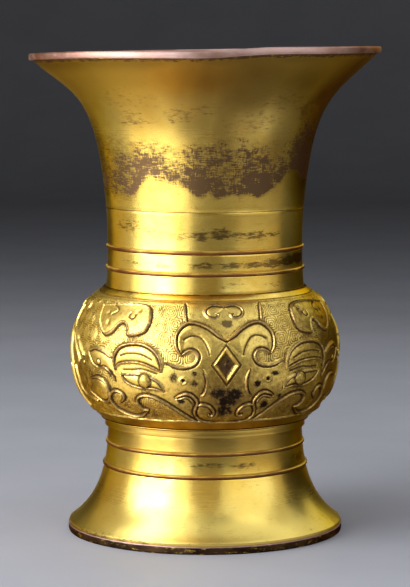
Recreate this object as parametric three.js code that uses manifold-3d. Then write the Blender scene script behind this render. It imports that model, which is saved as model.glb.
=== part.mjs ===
// Gilt bronze zun vase: a trumpet mouth on a plain neck, a round belly with two beast masks in
// relief, and a spreading foot. Turned and cast rings are stacked and soldered one on another.
// Millimetres, +Z up. The origin is the middle of the foot's underside, and one mask faces -Y.
import * as THREE from 'three';
import { mergeVertices } from 'three/addons/utils/BufferGeometryUtils.js';
import Module from 'manifold-3d';

const wasm = await Module();
wasm.setup();

// Heights of the stacked pieces, from the ground up
const FOOT_BAND_HEIGHT = 4.0;
const FOOT_HEIGHT = 51.5;
const WAIST_COLLAR_HEIGHT = 4.5;
const BULB_HEIGHT = 65.6;
const SHOULDER_COLLAR_HEIGHT = 2.4;
const NECK_HEIGHT = 41.3;
const TRUMPET_HEIGHT = 78.4;
const LIP_HEIGHT = 2.3;

// Outside radii
const FOOT_EDGE_RADIUS = 71.2;
const FOOT_NECK_RADIUS = 50.7;
const WAIST_COLLAR_LOW_RADIUS = 52.4;
const WAIST_COLLAR_TOP_RADIUS = 54.4;
const BULB_LOW_RADIUS = 54.2;
const BULB_RADIUS = 69.7;
const BULB_TOP_RADIUS = 56.0;
const SHOULDER_COLLAR_LOW_RADIUS = 55.4;
const SHOULDER_COLLAR_TOP_RADIUS = 52.9;
const NECK_LOW_RADIUS = 51.6;
const NECK_WAIST_RADIUS = 50.7;
const SEAM_RADIUS = 51.4;
const TRUMPET_EDGE_RADIUS = 88.7;

// How far the two edge bands stand out from the edges that they cover
const FOOT_BAND_PROUD = 0.6;
const LIP_PROUD = 2.3;

// How far each flared or swelling outline pulls on its two ends: across the axis, then along it
const FOOT_TOP_PULL = { across: 1.0, along: 8.0 };
const FOOT_EDGE_PULL = { across: 21.6, along: 15.4 };
const BULB_LOW_PULL = { across: 9.7, along: 8.4 };
const BULB_UNDER_PULL = 19.4;
const BULB_OVER_PULL = 13.2;
const BULB_TOP_PULL = { across: 6.8, along: 4.2 };
const BULB_SWELL_HEIGHT = 36.0;
const TRUMPET_LOW_PULL = { across: 5.3, along: 59.7 };
const TRUMPET_EDGE_PULL = { across: 21.2, along: 19.7 };

// Walls, laps and seats of the soldered joints
const WALL = 3.0;
const SOLDER_GAP = 0.3;
const SPIGOT_WALL = 1.4;
const NECK_SPIGOT_DEPTH = 6.0;
const FOOT_SPIGOT_RISE = 6.0;
const LAP_WALL = 1.35;
const LAP_HEIGHT = 8.0;
const TRUMPET_EDGE_UPRIGHT = 1.4;
const LIP_SKIRT = 1.1;
const LIP_ROUNDING = 0.6;
const FOOT_EDGE_UPRIGHT = 1.5;
const FOOT_BAND_ROUNDING = 0.8;
const FOOT_BAND_UPSTAND = 2.0;
const FOOT_BAND_UPSTAND_WALL = 1.6;
const FLOOR_THICKNESS = 2.4;
const FLOOR_PLUG_DEPTH = 3.0;
const FLOOR_LAP = 0.7;

// Bowstring ribs: their section, and the height of each above the lower end of its piece
const RIB_HEIGHT = 2.0;
const RIB_SEAT = 0.8;
const RIB_PROUD = 0.9;
const RIB_EDGE = 0.35;
const NECK_RIB_UPPER_LEVEL = 21.0;
const NECK_RIB_LOWER_LEVEL = 10.0;
const FOOT_RIB_UPPER_LEVEL = 42.8;
const FOOT_RIB_LOWER_LEVEL = 31.4;

// The masks: how far their forms and lines stand out, and the brow lozenge. Levels on the bulb are
// in hundredths of its height, so that the masks follow it
const MASK_TURNS = [0, 180];
const FLANK_TURNS = [90, 270];
const FORM_RELIEF = 1.5;
const LINE_RELIEF = 1.0;
const RELIEF_ROOT = 0.9;
const PUPIL_RADIUS = 3.4;
const PUPIL_LIFT = 0.6;
const PUPIL_PLACE = [34.5, 40];
const LOZENGE_LEVEL = 53;
const LOZENGE_HALF_ANGLE = 6.2;
const LOZENGE_HALF_HEIGHT = 15.7;
const LOZENGE_LINE_HALF_WIDTH = 1.0;
const LOZENGE_RECESS_HALF_ANGLE = 3.6;
const LOZENGE_RECESS_HALF_HEIGHT = 9.5;
const LOZENGE_RECESS_DEPTH = 0.9;

// Facets
const SEGMENTS = 36;
const FLARE_STEPS = 7;
const SWELL_STEPS = 5;
const NECK_STEPS = 4;
const STROKE_CHORD = 5.5;
const PUPIL_FACETS = 8;

// Levels of the joints between the pieces
const footBase = FOOT_BAND_HEIGHT;
const footTop = footBase + FOOT_HEIGHT;
const bulbBase = footTop + WAIST_COLLAR_HEIGHT;
const bulbTop = bulbBase + BULB_HEIGHT;
const neckBase = bulbTop + SHOULDER_COLLAR_HEIGHT;
const seam = neckBase + NECK_HEIGHT;
const trumpetTop = seam + TRUMPET_HEIGHT;
const lipTop = trumpetTop + LIP_HEIGHT;

// Radii of the sliding fits
const neckSpigotRadius = NECK_LOW_RADIUS - WALL + SPIGOT_WALL;
const bulbTopBore = neckSpigotRadius + SOLDER_GAP;
const footSpigotBore = FOOT_NECK_RADIUS - WALL;
const footSpigotRadius = footSpigotBore + SPIGOT_WALL;
const bulbLowBore = footSpigotRadius + SOLDER_GAP;
const lapRadius = SEAM_RADIUS - WALL + LAP_WALL;

const point = (radius, height) => new THREE.Vector2(radius, height);

// A smooth outline between two points, each end leaving along its own pull
function sweep(start, startPull, end, endPull) {
  return new THREE.CubicBezierCurve(start, start.clone().add(startPull), end.clone().add(endPull), end);
}

// The same outline moved sideways: a positive distance goes away from the axis
function offset(curve, distance, steps) {
  const moved = [];
  for (let step = 0; step <= steps; step += 1) {
    const place = curve.getPoint(step / steps);
    const along = curve.getTangent(step / steps);
    moved.push(point(place.x + along.y * distance, place.y - along.x * distance));
  }
  return moved;
}

// Radius of a rising outline at a height
function radiusAt(outline, height) {
  const last = outline.length - 1;
  let index = 1;
  while (index < last && outline[index].y < height) {
    index += 1;
  }
  const low = outline[index - 1];
  const high = outline[index];
  return THREE.MathUtils.mapLinear(height, low.y, high.y, low.x, high.x);
}

// The stretch of a rising outline between two heights
function between(outline, low, high) {
  const middle = outline.filter((place) => place.y > low && place.y < high);
  return [point(radiusAt(outline, low), low), ...middle, point(radiusAt(outline, high), high)];
}

// A rising outline with a square groove turned into it
function grooved(outline, level) {
  const low = level - RIB_HEIGHT / 2;
  const high = level + RIB_HEIGHT / 2;
  const floor = radiusAt(outline, level) - RIB_SEAT;
  const ends = [outline[0].y, outline[outline.length - 1].y];
  const below = between(outline, ends[0], low);
  const above = between(outline, high, ends[1]);
  return [...below, point(floor, low), point(floor, high), ...above];
}

// A turned piece: the section runs up its outside and down its inside
function turned(section) {
  const geometry = new THREE.LatheGeometry(section, SEGMENTS);
  geometry.rotateX(Math.PI / 2);
  return geometry;
}

function ring(section) {
  return turned([...section, section[0]]);
}

// Rising outlines of the outside and the inside of each walled piece
const footFlare = sweep(
  point(FOOT_EDGE_RADIUS, footBase + FOOT_EDGE_UPRIGHT),
  point(-FOOT_EDGE_PULL.across, FOOT_EDGE_PULL.along),
  point(FOOT_NECK_RADIUS, footTop),
  point(FOOT_TOP_PULL.across, -FOOT_TOP_PULL.along),
);
const footOutside = [point(FOOT_EDGE_RADIUS, footBase), ...offset(footFlare, 0, FLARE_STEPS)];
const footInside = offset(footFlare, -WALL, FLARE_STEPS);

const bulbSwell = bulbBase + BULB_SWELL_HEIGHT;
const bulbUnder = sweep(
  point(BULB_LOW_RADIUS, bulbBase),
  point(BULB_LOW_PULL.across, BULB_LOW_PULL.along),
  point(BULB_RADIUS, bulbSwell),
  point(0, -BULB_UNDER_PULL),
);
const bulbOver = sweep(
  point(BULB_RADIUS, bulbSwell),
  point(0, BULB_OVER_PULL),
  point(BULB_TOP_RADIUS, bulbTop),
  point(BULB_TOP_PULL.across, -BULB_TOP_PULL.along),
);

function bulbSkin(distance) {
  const under = offset(bulbUnder, distance, SWELL_STEPS);
  const over = offset(bulbOver, distance, SWELL_STEPS);
  return [...under, ...over.slice(1)];
}

const neckLine = new THREE.SplineCurve([
  point(NECK_LOW_RADIUS, neckBase),
  point(NECK_WAIST_RADIUS, neckBase + NECK_HEIGHT / 2),
  point(SEAM_RADIUS, seam),
]);
const neckOutside = neckLine.getPoints(NECK_STEPS);

const trumpetFlare = sweep(
  point(SEAM_RADIUS, seam),
  point(TRUMPET_LOW_PULL.across, TRUMPET_LOW_PULL.along),
  point(TRUMPET_EDGE_RADIUS, trumpetTop - TRUMPET_EDGE_UPRIGHT),
  point(-TRUMPET_EDGE_PULL.across, -TRUMPET_EDGE_PULL.along),
);
const trumpetOutside = [...offset(trumpetFlare, 0, FLARE_STEPS), point(TRUMPET_EDGE_RADIUS, trumpetTop)];
const trumpetInside = offset(trumpetFlare, -WALL, FLARE_STEPS);
const mouthRadius = radiusAt(trumpetInside, trumpetTop);

// Foot band: a plain ring under the foot's edge, with an upstand that centres the foot
function footBand() {
  const upstandTop = footBase + FOOT_BAND_UPSTAND;
  const upstandRadius = radiusAt(footInside, upstandTop) - SOLDER_GAP;
  const bore = upstandRadius - FOOT_BAND_UPSTAND_WALL;
  const radius = FOOT_EDGE_RADIUS + FOOT_BAND_PROUD;
  return ring([
    point(bore, 0),
    point(radius - FOOT_BAND_ROUNDING, 0),
    point(radius, FOOT_BAND_ROUNDING),
    point(radius, footBase),
    point(upstandRadius, footBase),
    point(upstandRadius, upstandTop),
    point(bore, upstandTop),
  ]);
}

// Spreading foot: a flared wall whose thinned top passes up through the waist collar
function spreadingFoot() {
  const spigotTop = bulbBase + FOOT_SPIGOT_RISE;
  const outside = grooved(
    grooved(footOutside, footBase + FOOT_RIB_LOWER_LEVEL),
    footBase + FOOT_RIB_UPPER_LEVEL,
  );
  const inside = between(footInside, footBase, footTop);
  inside[inside.length - 1].x = footSpigotBore;
  return ring([
    ...outside,
    point(footSpigotRadius, footTop),
    point(footSpigotRadius, spigotTop),
    point(footSpigotBore, spigotTop),
    ...inside.reverse(),
  ]);
}

function waistCollar() {
  return ring([
    point(bulbLowBore, footTop),
    point(WAIST_COLLAR_LOW_RADIUS, footTop),
    point(WAIST_COLLAR_TOP_RADIUS, bulbBase),
    point(bulbLowBore, bulbBase),
  ]);
}

// Floor of the vessel: a stepped disc that plugs the foot's spigot
function floorDisc() {
  const rim = bulbBase + FOOT_SPIGOT_RISE;
  const plugRadius = footSpigotBore - SOLDER_GAP;
  const radius = footSpigotRadius + FLOOR_LAP;
  return turned([
    point(0, rim - FLOOR_PLUG_DEPTH),
    point(plugRadius, rim - FLOOR_PLUG_DEPTH),
    point(plugRadius, rim),
    point(radius, rim),
    point(radius, rim + FLOOR_THICKNESS),
    point(0, rim + FLOOR_THICKNESS),
  ]);
}

// The bulb's plain wall, with a flat land and a bore at each end
function bulbWall() {
  const inside = between(bulbSkin(-WALL), bulbBase + WALL, bulbTop - WALL);
  return ring([
    point(bulbLowBore, bulbBase),
    ...bulbSkin(0),
    point(bulbTopBore, bulbTop),
    point(bulbTopBore, bulbTop - WALL),
    ...inside.reverse(),
    point(bulbLowBore, bulbBase + WALL),
  ]);
}

function shoulderCollar() {
  return ring([
    point(bulbTopBore, bulbTop),
    point(SHOULDER_COLLAR_LOW_RADIUS, bulbTop),
    point(SHOULDER_COLLAR_TOP_RADIUS, neckBase),
    point(bulbTopBore, neckBase),
  ]);
}

// Neck sleeve: a spigot below that drops into the bulb, and a lap above that enters the trumpet
function neckSleeve() {
  const spigotEnd = bulbTop - NECK_SPIGOT_DEPTH;
  const spigotBore = neckSpigotRadius - SPIGOT_WALL;
  const lapBore = lapRadius - LAP_WALL;
  const outside = grooved(
    grooved(neckOutside, neckBase + NECK_RIB_LOWER_LEVEL),
    neckBase + NECK_RIB_UPPER_LEVEL,
  );
  return ring([
    point(spigotBore, spigotEnd),
    point(neckSpigotRadius, spigotEnd),
    point(neckSpigotRadius, neckBase),
    ...outside,
    point(lapRadius, seam),
    point(lapRadius, seam + LAP_HEIGHT),
    point(lapBore, seam + LAP_HEIGHT),
    point(NECK_WAIST_RADIUS - WALL, (neckBase + seam) / 2),
  ]);
}

// Trumpet mouth: its lower end is rebated to slip over the neck's lap and land on its shoulder
function mouthTrumpet() {
  const rebateRadius = lapRadius + SOLDER_GAP;
  const rebateTop = seam + LAP_HEIGHT + SOLDER_GAP;
  const inside = between(trumpetInside, rebateTop, trumpetTop);
  return ring([
    ...trumpetOutside,
    ...inside.reverse(),
    point(rebateRadius, rebateTop),
    point(rebateRadius, seam),
  ]);
}

// Lip band: a flat ring on the trumpet's edge with a short skirt round it
function lipBand() {
  const skirtRadius = TRUMPET_EDGE_RADIUS + SOLDER_GAP;
  const radius = TRUMPET_EDGE_RADIUS + LIP_PROUD;
  const skirtEnd = trumpetTop - LIP_SKIRT;
  return ring([
    point(mouthRadius, trumpetTop),
    point(skirtRadius, trumpetTop),
    point(skirtRadius, skirtEnd),
    point(radius, skirtEnd),
    point(radius, lipTop - LIP_ROUNDING),
    point(radius - LIP_ROUNDING, lipTop),
    point(mouthRadius + LIP_ROUNDING, lipTop),
    point(mouthRadius, lipTop - LIP_ROUNDING),
  ]);
}

// Bowstring rib: a drawn strip closed into a ring in its groove
function rib(outline, level) {
  const skin = radiusAt(outline, level);
  const low = level - RIB_HEIGHT / 2;
  const high = level + RIB_HEIGHT / 2;
  const inner = skin - RIB_SEAT + SOLDER_GAP;
  return ring([
    point(inner, low),
    point(skin + RIB_EDGE, low),
    point(skin + RIB_PROUD, level),
    point(skin + RIB_EDGE, high),
    point(inner, high),
  ]);
}

// One half of the mask, as strokes whose stations are
// [degrees from its middle, level in hundredths of the bulb's height, half width in millimetres].
// Forms are broad and domed, and lines are raised threads.
const HORN = [
  [3.6, 64, 2.2], [7.5, 72, 4.2], [13, 75, 5.4], [17.6, 72, 3.8], [19.4, 66.5, 2], [18.8, 61.5, 0.5],
];
const BROW = [[49.4, 49, 0.7], [46, 57, 3.2], [39, 60.5, 4.6], [32, 57.5, 3.4], [27.4, 50, 0.7]];
const EYE = [[46.2, 43.5, 0.5], [40, 40, 2.8], [34.5, 40, 3.8], [30, 38, 2.6], [26.2, 33.5, 0.5]];
const LEAF = [
  [55.5, 75, 1], [57.8, 83, 4.2], [53.4, 88.5, 3.8], [47, 90, 3.6], [41, 86, 4.4], [40.8, 76.5, 1.2],
];
const ARCH = [[90, 76, 2.2], [83, 73, 2.2], [77, 66.5, 2], [72.6, 56, 0.8]];
const CURL = [
  [18.2, 62, 0.7], [15, 64, 0.9], [12, 60, 1], [13.2, 54.5, 1], [18, 52, 0.9], [25, 55, 0.6],
];
const CLOUD = [
  [3.8, 90, 0.6], [6, 88, 0.8], [8.6, 91.5, 0.9], [7, 96, 0.9], [3.6, 96.5, 0.9], [0, 95.5, 0.9],
];
const SNOUT = [
  [20.6, 27.5, 0.7], [17, 31, 0.9], [13.6, 28, 0.9], [12.7, 22.5, 0.9], [13.7, 16.5, 0.9],
  [12, 10, 0.9], [7, 7.5, 0.9], [0, 7, 0.9],
];
const JAW = [
  [35, 17, 0.7], [38.8, 18, 0.9], [39.8, 23, 0.9], [36.5, 27.5, 0.9], [32, 28, 0.9],
  [26, 23.5, 0.9], [20, 14.5, 0.9], [15.5, 9.5, 0.7],
];

const FORMS = [HORN, BROW, EYE, LEAF, ARCH];
const LINES = [CURL, SNOUT, JAW];

// Sections of a stroke from its right edge to its left, as shares of its half width and height
const DOME = [[-0.62, 0.8], [0, 1], [0.62, 0.8]];
const THREAD = [[0, 1]];

const mirrored = (stroke) => stroke.map(([degrees, level, width]) => [-degrees, level, width]);
const rotated = (stroke, turn) => stroke.map(([degrees, level, width]) => [degrees + turn, level, width]);

// Height above the bulb's base of a level in hundredths of the bulb's height
const heightOf = (level) => (level / 100) * BULB_HEIGHT;

// A place on the bulb's skin, lifted from it
function onBulb(skin, degrees, height, lift) {
  const angle = THREE.MathUtils.degToRad(degrees);
  const level = bulbBase + height;
  const radius = radiusAt(skin, level) + lift;
  return [radius * Math.sin(angle), -radius * Math.cos(angle), level];
}

// A closed stroke on the bulb: the section follows a smooth line and is rooted in the wall
function stroke(skin, stations, section, relief) {
  const perDegree = THREE.MathUtils.degToRad(1) * BULB_RADIUS;
  const curve = new THREE.CatmullRomCurve3(
    stations.map(([degrees, level, width]) => new THREE.Vector3(degrees * perDegree, heightOf(level), width)),
  );
  const steps = Math.max(1, Math.round(curve.getLength() / STROKE_CHORD));
  const lifted = section.map(([across, rise]) => [across, rise * relief]);
  const edges = [[-1, -RELIEF_ROOT], ...lifted, [1, -RELIEF_ROOT]];
  const around = edges.length;
  const positions = [];
  const index = [];
  for (let step = 0; step <= steps; step += 1) {
    const middle = curve.getPointAt(step / steps);
    const along = curve.getTangentAt(step / steps).setZ(0).normalize();
    for (const [across, lift] of edges) {
      const x = middle.x - along.y * across * middle.z;
      const y = middle.y + along.x * across * middle.z;
      positions.push(...onBulb(skin, x / perDegree, y, lift));
    }
  }
  for (let step = 0; step < steps; step += 1) {
    for (let edge = 0; edge < around; edge += 1) {
      const near = step * around + edge;
      const beside = step * around + ((edge + 1) % around);
      index.push(near, near + around, beside, beside, near + around, beside + around);
    }
  }
  const end = steps * around;
  for (let edge = 1; edge < around - 1; edge += 1) {
    index.push(0, edge, edge + 1, end, end + edge + 1, end + edge);
  }
  const geometry = new THREE.BufferGeometry();
  geometry.setAttribute('position', new THREE.Float32BufferAttribute(positions, 3));
  geometry.setIndex(index);
  return geometry;
}

// The tool that sinks a brow lozenge: a four-sided block set into the skin
function lozengeTool(skin, turn) {
  const middle = heightOf(LOZENGE_LEVEL);
  const corners = [
    [LOZENGE_RECESS_HALF_ANGLE, middle],
    [0, middle + heightOf(LOZENGE_RECESS_HALF_HEIGHT)],
    [-LOZENGE_RECESS_HALF_ANGLE, middle],
    [0, middle - heightOf(LOZENGE_RECESS_HALF_HEIGHT)],
  ];
  const positions = [-LOZENGE_RECESS_DEPTH, LOZENGE_RECESS_DEPTH].flatMap(
    (lift) => corners.flatMap(([degrees, height]) => onBulb(skin, degrees + turn, height, lift)),
  );
  const index = [0, 2, 1, 0, 3, 2, 4, 5, 6, 4, 6, 7];
  for (let side = 0; side < corners.length; side += 1) {
    const next = (side + 1) % corners.length;
    index.push(side, next, next + corners.length, side, next + corners.length, side + corners.length);
  }
  const geometry = new THREE.BufferGeometry();
  geometry.setAttribute('position', new THREE.Float32BufferAttribute(positions, 3));
  geometry.setIndex(index);
  return geometry;
}

function solid(geometry) {
  const bare = geometry.clone();
  bare.deleteAttribute('normal');
  bare.deleteAttribute('uv');
  const merged = mergeVertices(bare);
  const mesh = new wasm.Mesh({
    numProp: 3,
    vertProperties: new Float32Array(merged.attributes.position.array),
    triVerts: new Uint32Array(merged.index.array),
  });
  return new wasm.Manifold(mesh);
}

function geometryOf(body) {
  const mesh = body.getMesh();
  const geometry = new THREE.BufferGeometry();
  geometry.setAttribute('position', new THREE.Float32BufferAttribute(mesh.vertProperties, 3));
  geometry.setIndex(new THREE.Uint32BufferAttribute(mesh.triVerts, 1));
  geometry.computeVertexNormals();
  return geometry;
}

// Both halves of every stroke, repeated round the bulb
function repeated(strokes, turns) {
  const halves = strokes.flatMap((half) => [half, mirrored(half)]);
  return turns.flatMap((turn) => halves.map((half) => rotated(half, turn)));
}

// The bulb: its turned wall, with the masks raised on it and the brow lozenges sunk
function bulb() {
  const skin = bulbSkin(0);
  const top = [0, LOZENGE_LEVEL + LOZENGE_HALF_HEIGHT, LOZENGE_LINE_HALF_WIDTH];
  const corner = [LOZENGE_HALF_ANGLE, LOZENGE_LEVEL, LOZENGE_LINE_HALF_WIDTH];
  const foot = [0, LOZENGE_LEVEL - LOZENGE_HALF_HEIGHT, LOZENGE_LINE_HALF_WIDTH];
  const lines = repeated([...LINES, [top, corner], [corner, foot]], MASK_TURNS);
  const clouds = repeated([CLOUD], [...MASK_TURNS, ...FLANK_TURNS]);
  let body = solid(bulbWall());
  for (const form of repeated(FORMS, MASK_TURNS)) {
    body = body.add(solid(stroke(skin, form, DOME, FORM_RELIEF)));
  }
  for (const line of [...lines, ...clouds]) {
    body = body.add(solid(stroke(skin, line, THREAD, LINE_RELIEF)));
  }
  for (const [[degrees, level]] of repeated([[PUPIL_PLACE]], MASK_TURNS)) {
    const pupil = new THREE.SphereGeometry(PUPIL_RADIUS, PUPIL_FACETS, PUPIL_FACETS / 2);
    pupil.translate(...onBulb(skin, degrees, heightOf(level), PUPIL_LIFT));
    body = body.add(solid(pupil));
  }
  for (const turn of MASK_TURNS) {
    body = body.subtract(solid(lozengeTool(skin, turn)));
  }
  return geometryOf(body);
}

const gilt = { color: 0xb8902f, roughness: 0.3, metalness: 1.0 };
const giltRelief = { color: 0xa8842c, roughness: 0.38, metalness: 1.0 };
const bareCopper = { color: 0x9a6a52, roughness: 0.42, metalness: 1.0 };
const darkBronze = { color: 0x5a3d2a, roughness: 0.5, metalness: 1.0 };
const dullBronze = { color: 0x6b5227, roughness: 0.6, metalness: 1.0 };

const vase = new THREE.Group();
vase.name = 'zun_vase';

function place(name, geometry, finish) {
  const mesh = new THREE.Mesh(geometry, new THREE.MeshStandardMaterial(finish));
  mesh.name = name;
  vase.add(mesh);
}

place('foot_band', footBand(), darkBronze);
place('spreading_foot', spreadingFoot(), gilt);
place('foot_rib_lower', rib(footOutside, footBase + FOOT_RIB_LOWER_LEVEL), bareCopper);
place('foot_rib_upper', rib(footOutside, footBase + FOOT_RIB_UPPER_LEVEL), bareCopper);
place('waist_collar', waistCollar(), gilt);
place('floor_disc', floorDisc(), dullBronze);
place('bulb', bulb(), giltRelief);
place('shoulder_collar', shoulderCollar(), gilt);
place('neck_sleeve', neckSleeve(), gilt);
place('neck_rib_lower', rib(neckOutside, neckBase + NECK_RIB_LOWER_LEVEL), bareCopper);
place('neck_rib_upper', rib(neckOutside, neckBase + NECK_RIB_UPPER_LEVEL), bareCopper);
place('mouth_trumpet', mouthTrumpet(), gilt);
place('lip_band', lipBand(), bareCopper);

export default vase;
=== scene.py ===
# Looks of the gilt bronze zun vase: finely turned rings for every CAD node, the mask relief of the
# belly as a fine height field, worn gilding, a pale floor, soft studio light and the photo's camera.
# Sizes are in millimetres until a mesh is made, and in metres for the lamps and the camera. Angles are
# degrees round the axis from the front mask at -Y, positive towards +X.
import math

import bpy
import numpy as np
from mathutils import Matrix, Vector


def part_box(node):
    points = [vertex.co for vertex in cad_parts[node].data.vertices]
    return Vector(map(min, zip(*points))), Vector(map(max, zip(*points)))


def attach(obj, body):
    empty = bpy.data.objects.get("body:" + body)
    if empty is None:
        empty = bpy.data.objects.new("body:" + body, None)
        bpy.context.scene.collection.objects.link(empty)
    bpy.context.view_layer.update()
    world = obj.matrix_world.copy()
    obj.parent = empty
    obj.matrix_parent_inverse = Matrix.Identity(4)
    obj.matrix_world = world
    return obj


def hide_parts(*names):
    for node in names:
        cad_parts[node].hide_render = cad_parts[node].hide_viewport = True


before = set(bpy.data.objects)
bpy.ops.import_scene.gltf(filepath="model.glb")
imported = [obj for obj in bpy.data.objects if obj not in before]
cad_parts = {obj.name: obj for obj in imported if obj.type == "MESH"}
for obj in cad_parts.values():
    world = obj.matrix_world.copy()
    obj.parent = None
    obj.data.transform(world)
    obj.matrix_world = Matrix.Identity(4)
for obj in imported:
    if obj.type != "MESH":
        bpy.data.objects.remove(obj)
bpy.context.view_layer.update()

MM = 0.001
rng = np.random.default_rng(8)

# Camera of the photo: its turn round the axis, distance, height, pitch, and focal length in millimetres
CAMERA_TURN = -9.0
CAMERA_DISTANCE = 1.234
CAMERA_HEIGHT = 0.253
CAMERA_PITCH = -5.99
CAMERA_LENS = 145.6

# Radii that the frame's boxes don't show
FOOT_NECK_RADIUS = 50.7
WAIST_COLLAR_LOW_RADIUS = 52.4
BULB_LOW_RADIUS = 54.2
BULB_TOP_RADIUS = 56.0
SHOULDER_COLLAR_TOP_RADIUS = 52.9
NECK_LOW_RADIUS = 51.6
NECK_WAIST_RADIUS = 50.7
SEAM_RADIUS = 51.4
BULB_SWELL_HEIGHT = 36.0

# How far each outline pulls on its ends: across the axis, then along it
FOOT_TOP_PULL = (1.0, -8.0)
FOOT_EDGE_PULL = (-21.6, 15.4)
BULB_LOW_PULL = (9.7, 8.4)
BULB_UNDER_PULL = (0.0, -19.4)
BULB_OVER_PULL = (0.0, 13.2)
BULB_TOP_PULL = (6.8, -4.2)
TRUMPET_LOW_PULL = (5.3, 59.7)
TRUMPET_EDGE_PULL = (-21.2, -19.7)

# Walls, laps, seats and edges
WALL = 3.0
SOLDER_GAP = 0.3
SPIGOT_WALL = 1.4
LAP_WALL = 1.35
FOOT_EDGE_UPRIGHT = 1.5
TRUMPET_EDGE_UPRIGHT = 1.4
FOOT_BAND_UPSTAND_WALL = 1.6
LIP_WALL_INSET = 0.6
FLOOR_THICKNESS = 2.4
FLOOR_LAP = 0.7
RIB_SEAT = 0.8
RIB_ROUND = 0.7
RIB_GILT_AND_HIGHLIGHT = 0.15
RIB_POINTS = 13
WAIST_FLANGE = 0.5
WAIST_FLARE = 0.5
WAIST_TAPER = 0.2
FOOT_SPIGOT_STEP = 1.0
FOOT_BAND_CHAMFER = (0.3, 0.8)
LIP_CHAMFER = (0.2, 1.0)
AXIS_GAP = 0.02
EDGE_ROUNDING = 0.25
ROUNDING_SHARE = 0.4
ROUNDING_STEPS = (0.0, 0.33, 0.67, 1.0)
LEAST_CORNER = math.radians(20.0)

# Meshes
COLUMNS = 400
ROW_STEP = 1.2
SWEEP_STEPS = 48
NECK_ROWS = 25
SHARP_EDGE = math.radians(40.0)
BULB_COLUMNS = 1440
QUARTER_COLUMNS = BULB_COLUMNS // 4
QUARTER_TURN = 90.0
BULB_ROW_STEP = 0.31
INNER_ROW_SKIP = 4
HAIR = 1e-6
TINY = 1e-9


def span(node):
    low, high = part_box(node)
    return np.array(low) / MM, np.array(high) / MM


def bottom(node):
    return float(span(node)[0][2])


def top(node):
    return float(span(node)[1][2])


def radius_of(node):
    return float(span(node)[1][0])


foot_base = bottom("spreading_foot")
foot_top = bottom("waist_collar")
bulb_base = bottom("bulb")
bulb_top = top("bulb")
neck_base = top("shoulder_collar")
seam = bottom("mouth_trumpet")
trumpet_top = top("mouth_trumpet")
lip_low = bottom("lip_band")
lip_top = top("lip_band")
foot_edge_radius = radius_of("spreading_foot")
trumpet_edge_radius = radius_of("mouth_trumpet")
bulb_radius = radius_of("bulb")


# Outlines in the plane of radius and height

def sweep(start, start_pull, end, end_pull):
    """A smooth outline between two points, each end leaving along its own pull."""
    t = np.linspace(0.0, 1.0, SWEEP_STEPS + 1)[:, None]
    first = np.array(start)
    last = np.array(end)
    second = first + start_pull
    third = last + end_pull
    rest = 1.0 - t
    return rest**3 * first + 3 * rest**2 * t * second + 3 * rest * t**2 * third + t**3 * last


def normals(outline):
    """Unit normals of a rising outline, away from the axis."""
    along = np.gradient(outline, axis=0)
    along /= np.linalg.norm(along, axis=1)[:, None]
    return np.stack([along[:, 1], -along[:, 0]], axis=1)


def moved(outline, distance):
    """A rising outline moved sideways: a positive distance goes away from the axis."""
    return outline + distance * normals(outline)


def radius_at(outline, height):
    return float(np.interp(height, outline[:, 1], outline[:, 0]))


def between(outline, low, high):
    """The stretch of a rising outline between two heights."""
    middle = outline[(outline[:, 1] > low) & (outline[:, 1] < high)]
    start = [[radius_at(outline, low), low]]
    end = [[radius_at(outline, high), high]]
    return np.concatenate([start, middle, end])


def ribs_of(part):
    return [f"{part}_rib_lower", f"{part}_rib_upper"]


def grooved(outline, part):
    """A rising outline with the square grooves that the ribs of a part sit in."""
    for rib in ribs_of(part):
        low = bottom(rib)
        high = top(rib)
        seat = radius_at(outline, (low + high) / 2) - RIB_SEAT
        below = between(outline, outline[0, 1], low)
        above = between(outline, high, outline[-1, 1])
        outline = np.concatenate([below, [[seat, low], [seat, high]], above])
    return outline


def filleted(section):
    """A closed section with its corners rounded, by less where an edge is short."""
    rounded = []
    count = len(section)
    for index in range(count):
        corner = section[index]
        back = section[index - 1] - corner
        ahead = section[(index + 1) % count] - corner
        back_length = np.linalg.norm(back)
        ahead_length = np.linalg.norm(ahead)
        turn = math.pi - math.acos(np.clip(back @ ahead / (back_length * ahead_length), -1.0, 1.0))
        if turn < LEAST_CORNER:
            rounded.append(corner)
            continue
        longest = ROUNDING_SHARE * min(back_length, ahead_length)
        cut = min(EDGE_ROUNDING * math.tan(turn / 2), longest)
        start = corner + back / back_length * cut
        end = corner + ahead / ahead_length * cut
        for t in ROUNDING_STEPS:
            rounded.append((1 - t) ** 2 * start + 2 * t * (1 - t) * corner + t**2 * end)
    return np.array(rounded)


def divided(section):
    """A closed section with its long edges cut into steps."""
    points = []
    for start, end in zip(section, np.roll(section, -1, axis=0)):
        cuts = max(1, int(np.linalg.norm(end - start) / ROW_STEP))
        for cut in range(cuts):
            points.append(start + (end - start) * cut / cuts)
    return np.array(points)


foot_flare = sweep(
    (foot_edge_radius, foot_base + FOOT_EDGE_UPRIGHT),
    FOOT_EDGE_PULL,
    (FOOT_NECK_RADIUS, foot_top),
    FOOT_TOP_PULL,
)
foot_outside = np.concatenate([[[foot_edge_radius, foot_base]], foot_flare])
foot_inside = moved(foot_flare, -WALL)

bulb_swell = bulb_base + BULB_SWELL_HEIGHT
bulb_outside = np.concatenate([
    sweep((BULB_LOW_RADIUS, bulb_base), BULB_LOW_PULL, (bulb_radius, bulb_swell), BULB_UNDER_PULL),
    sweep((bulb_radius, bulb_swell), BULB_OVER_PULL, (BULB_TOP_RADIUS, bulb_top), BULB_TOP_PULL)[1:],
])
bulb_inside = moved(bulb_outside, -WALL)

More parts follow.
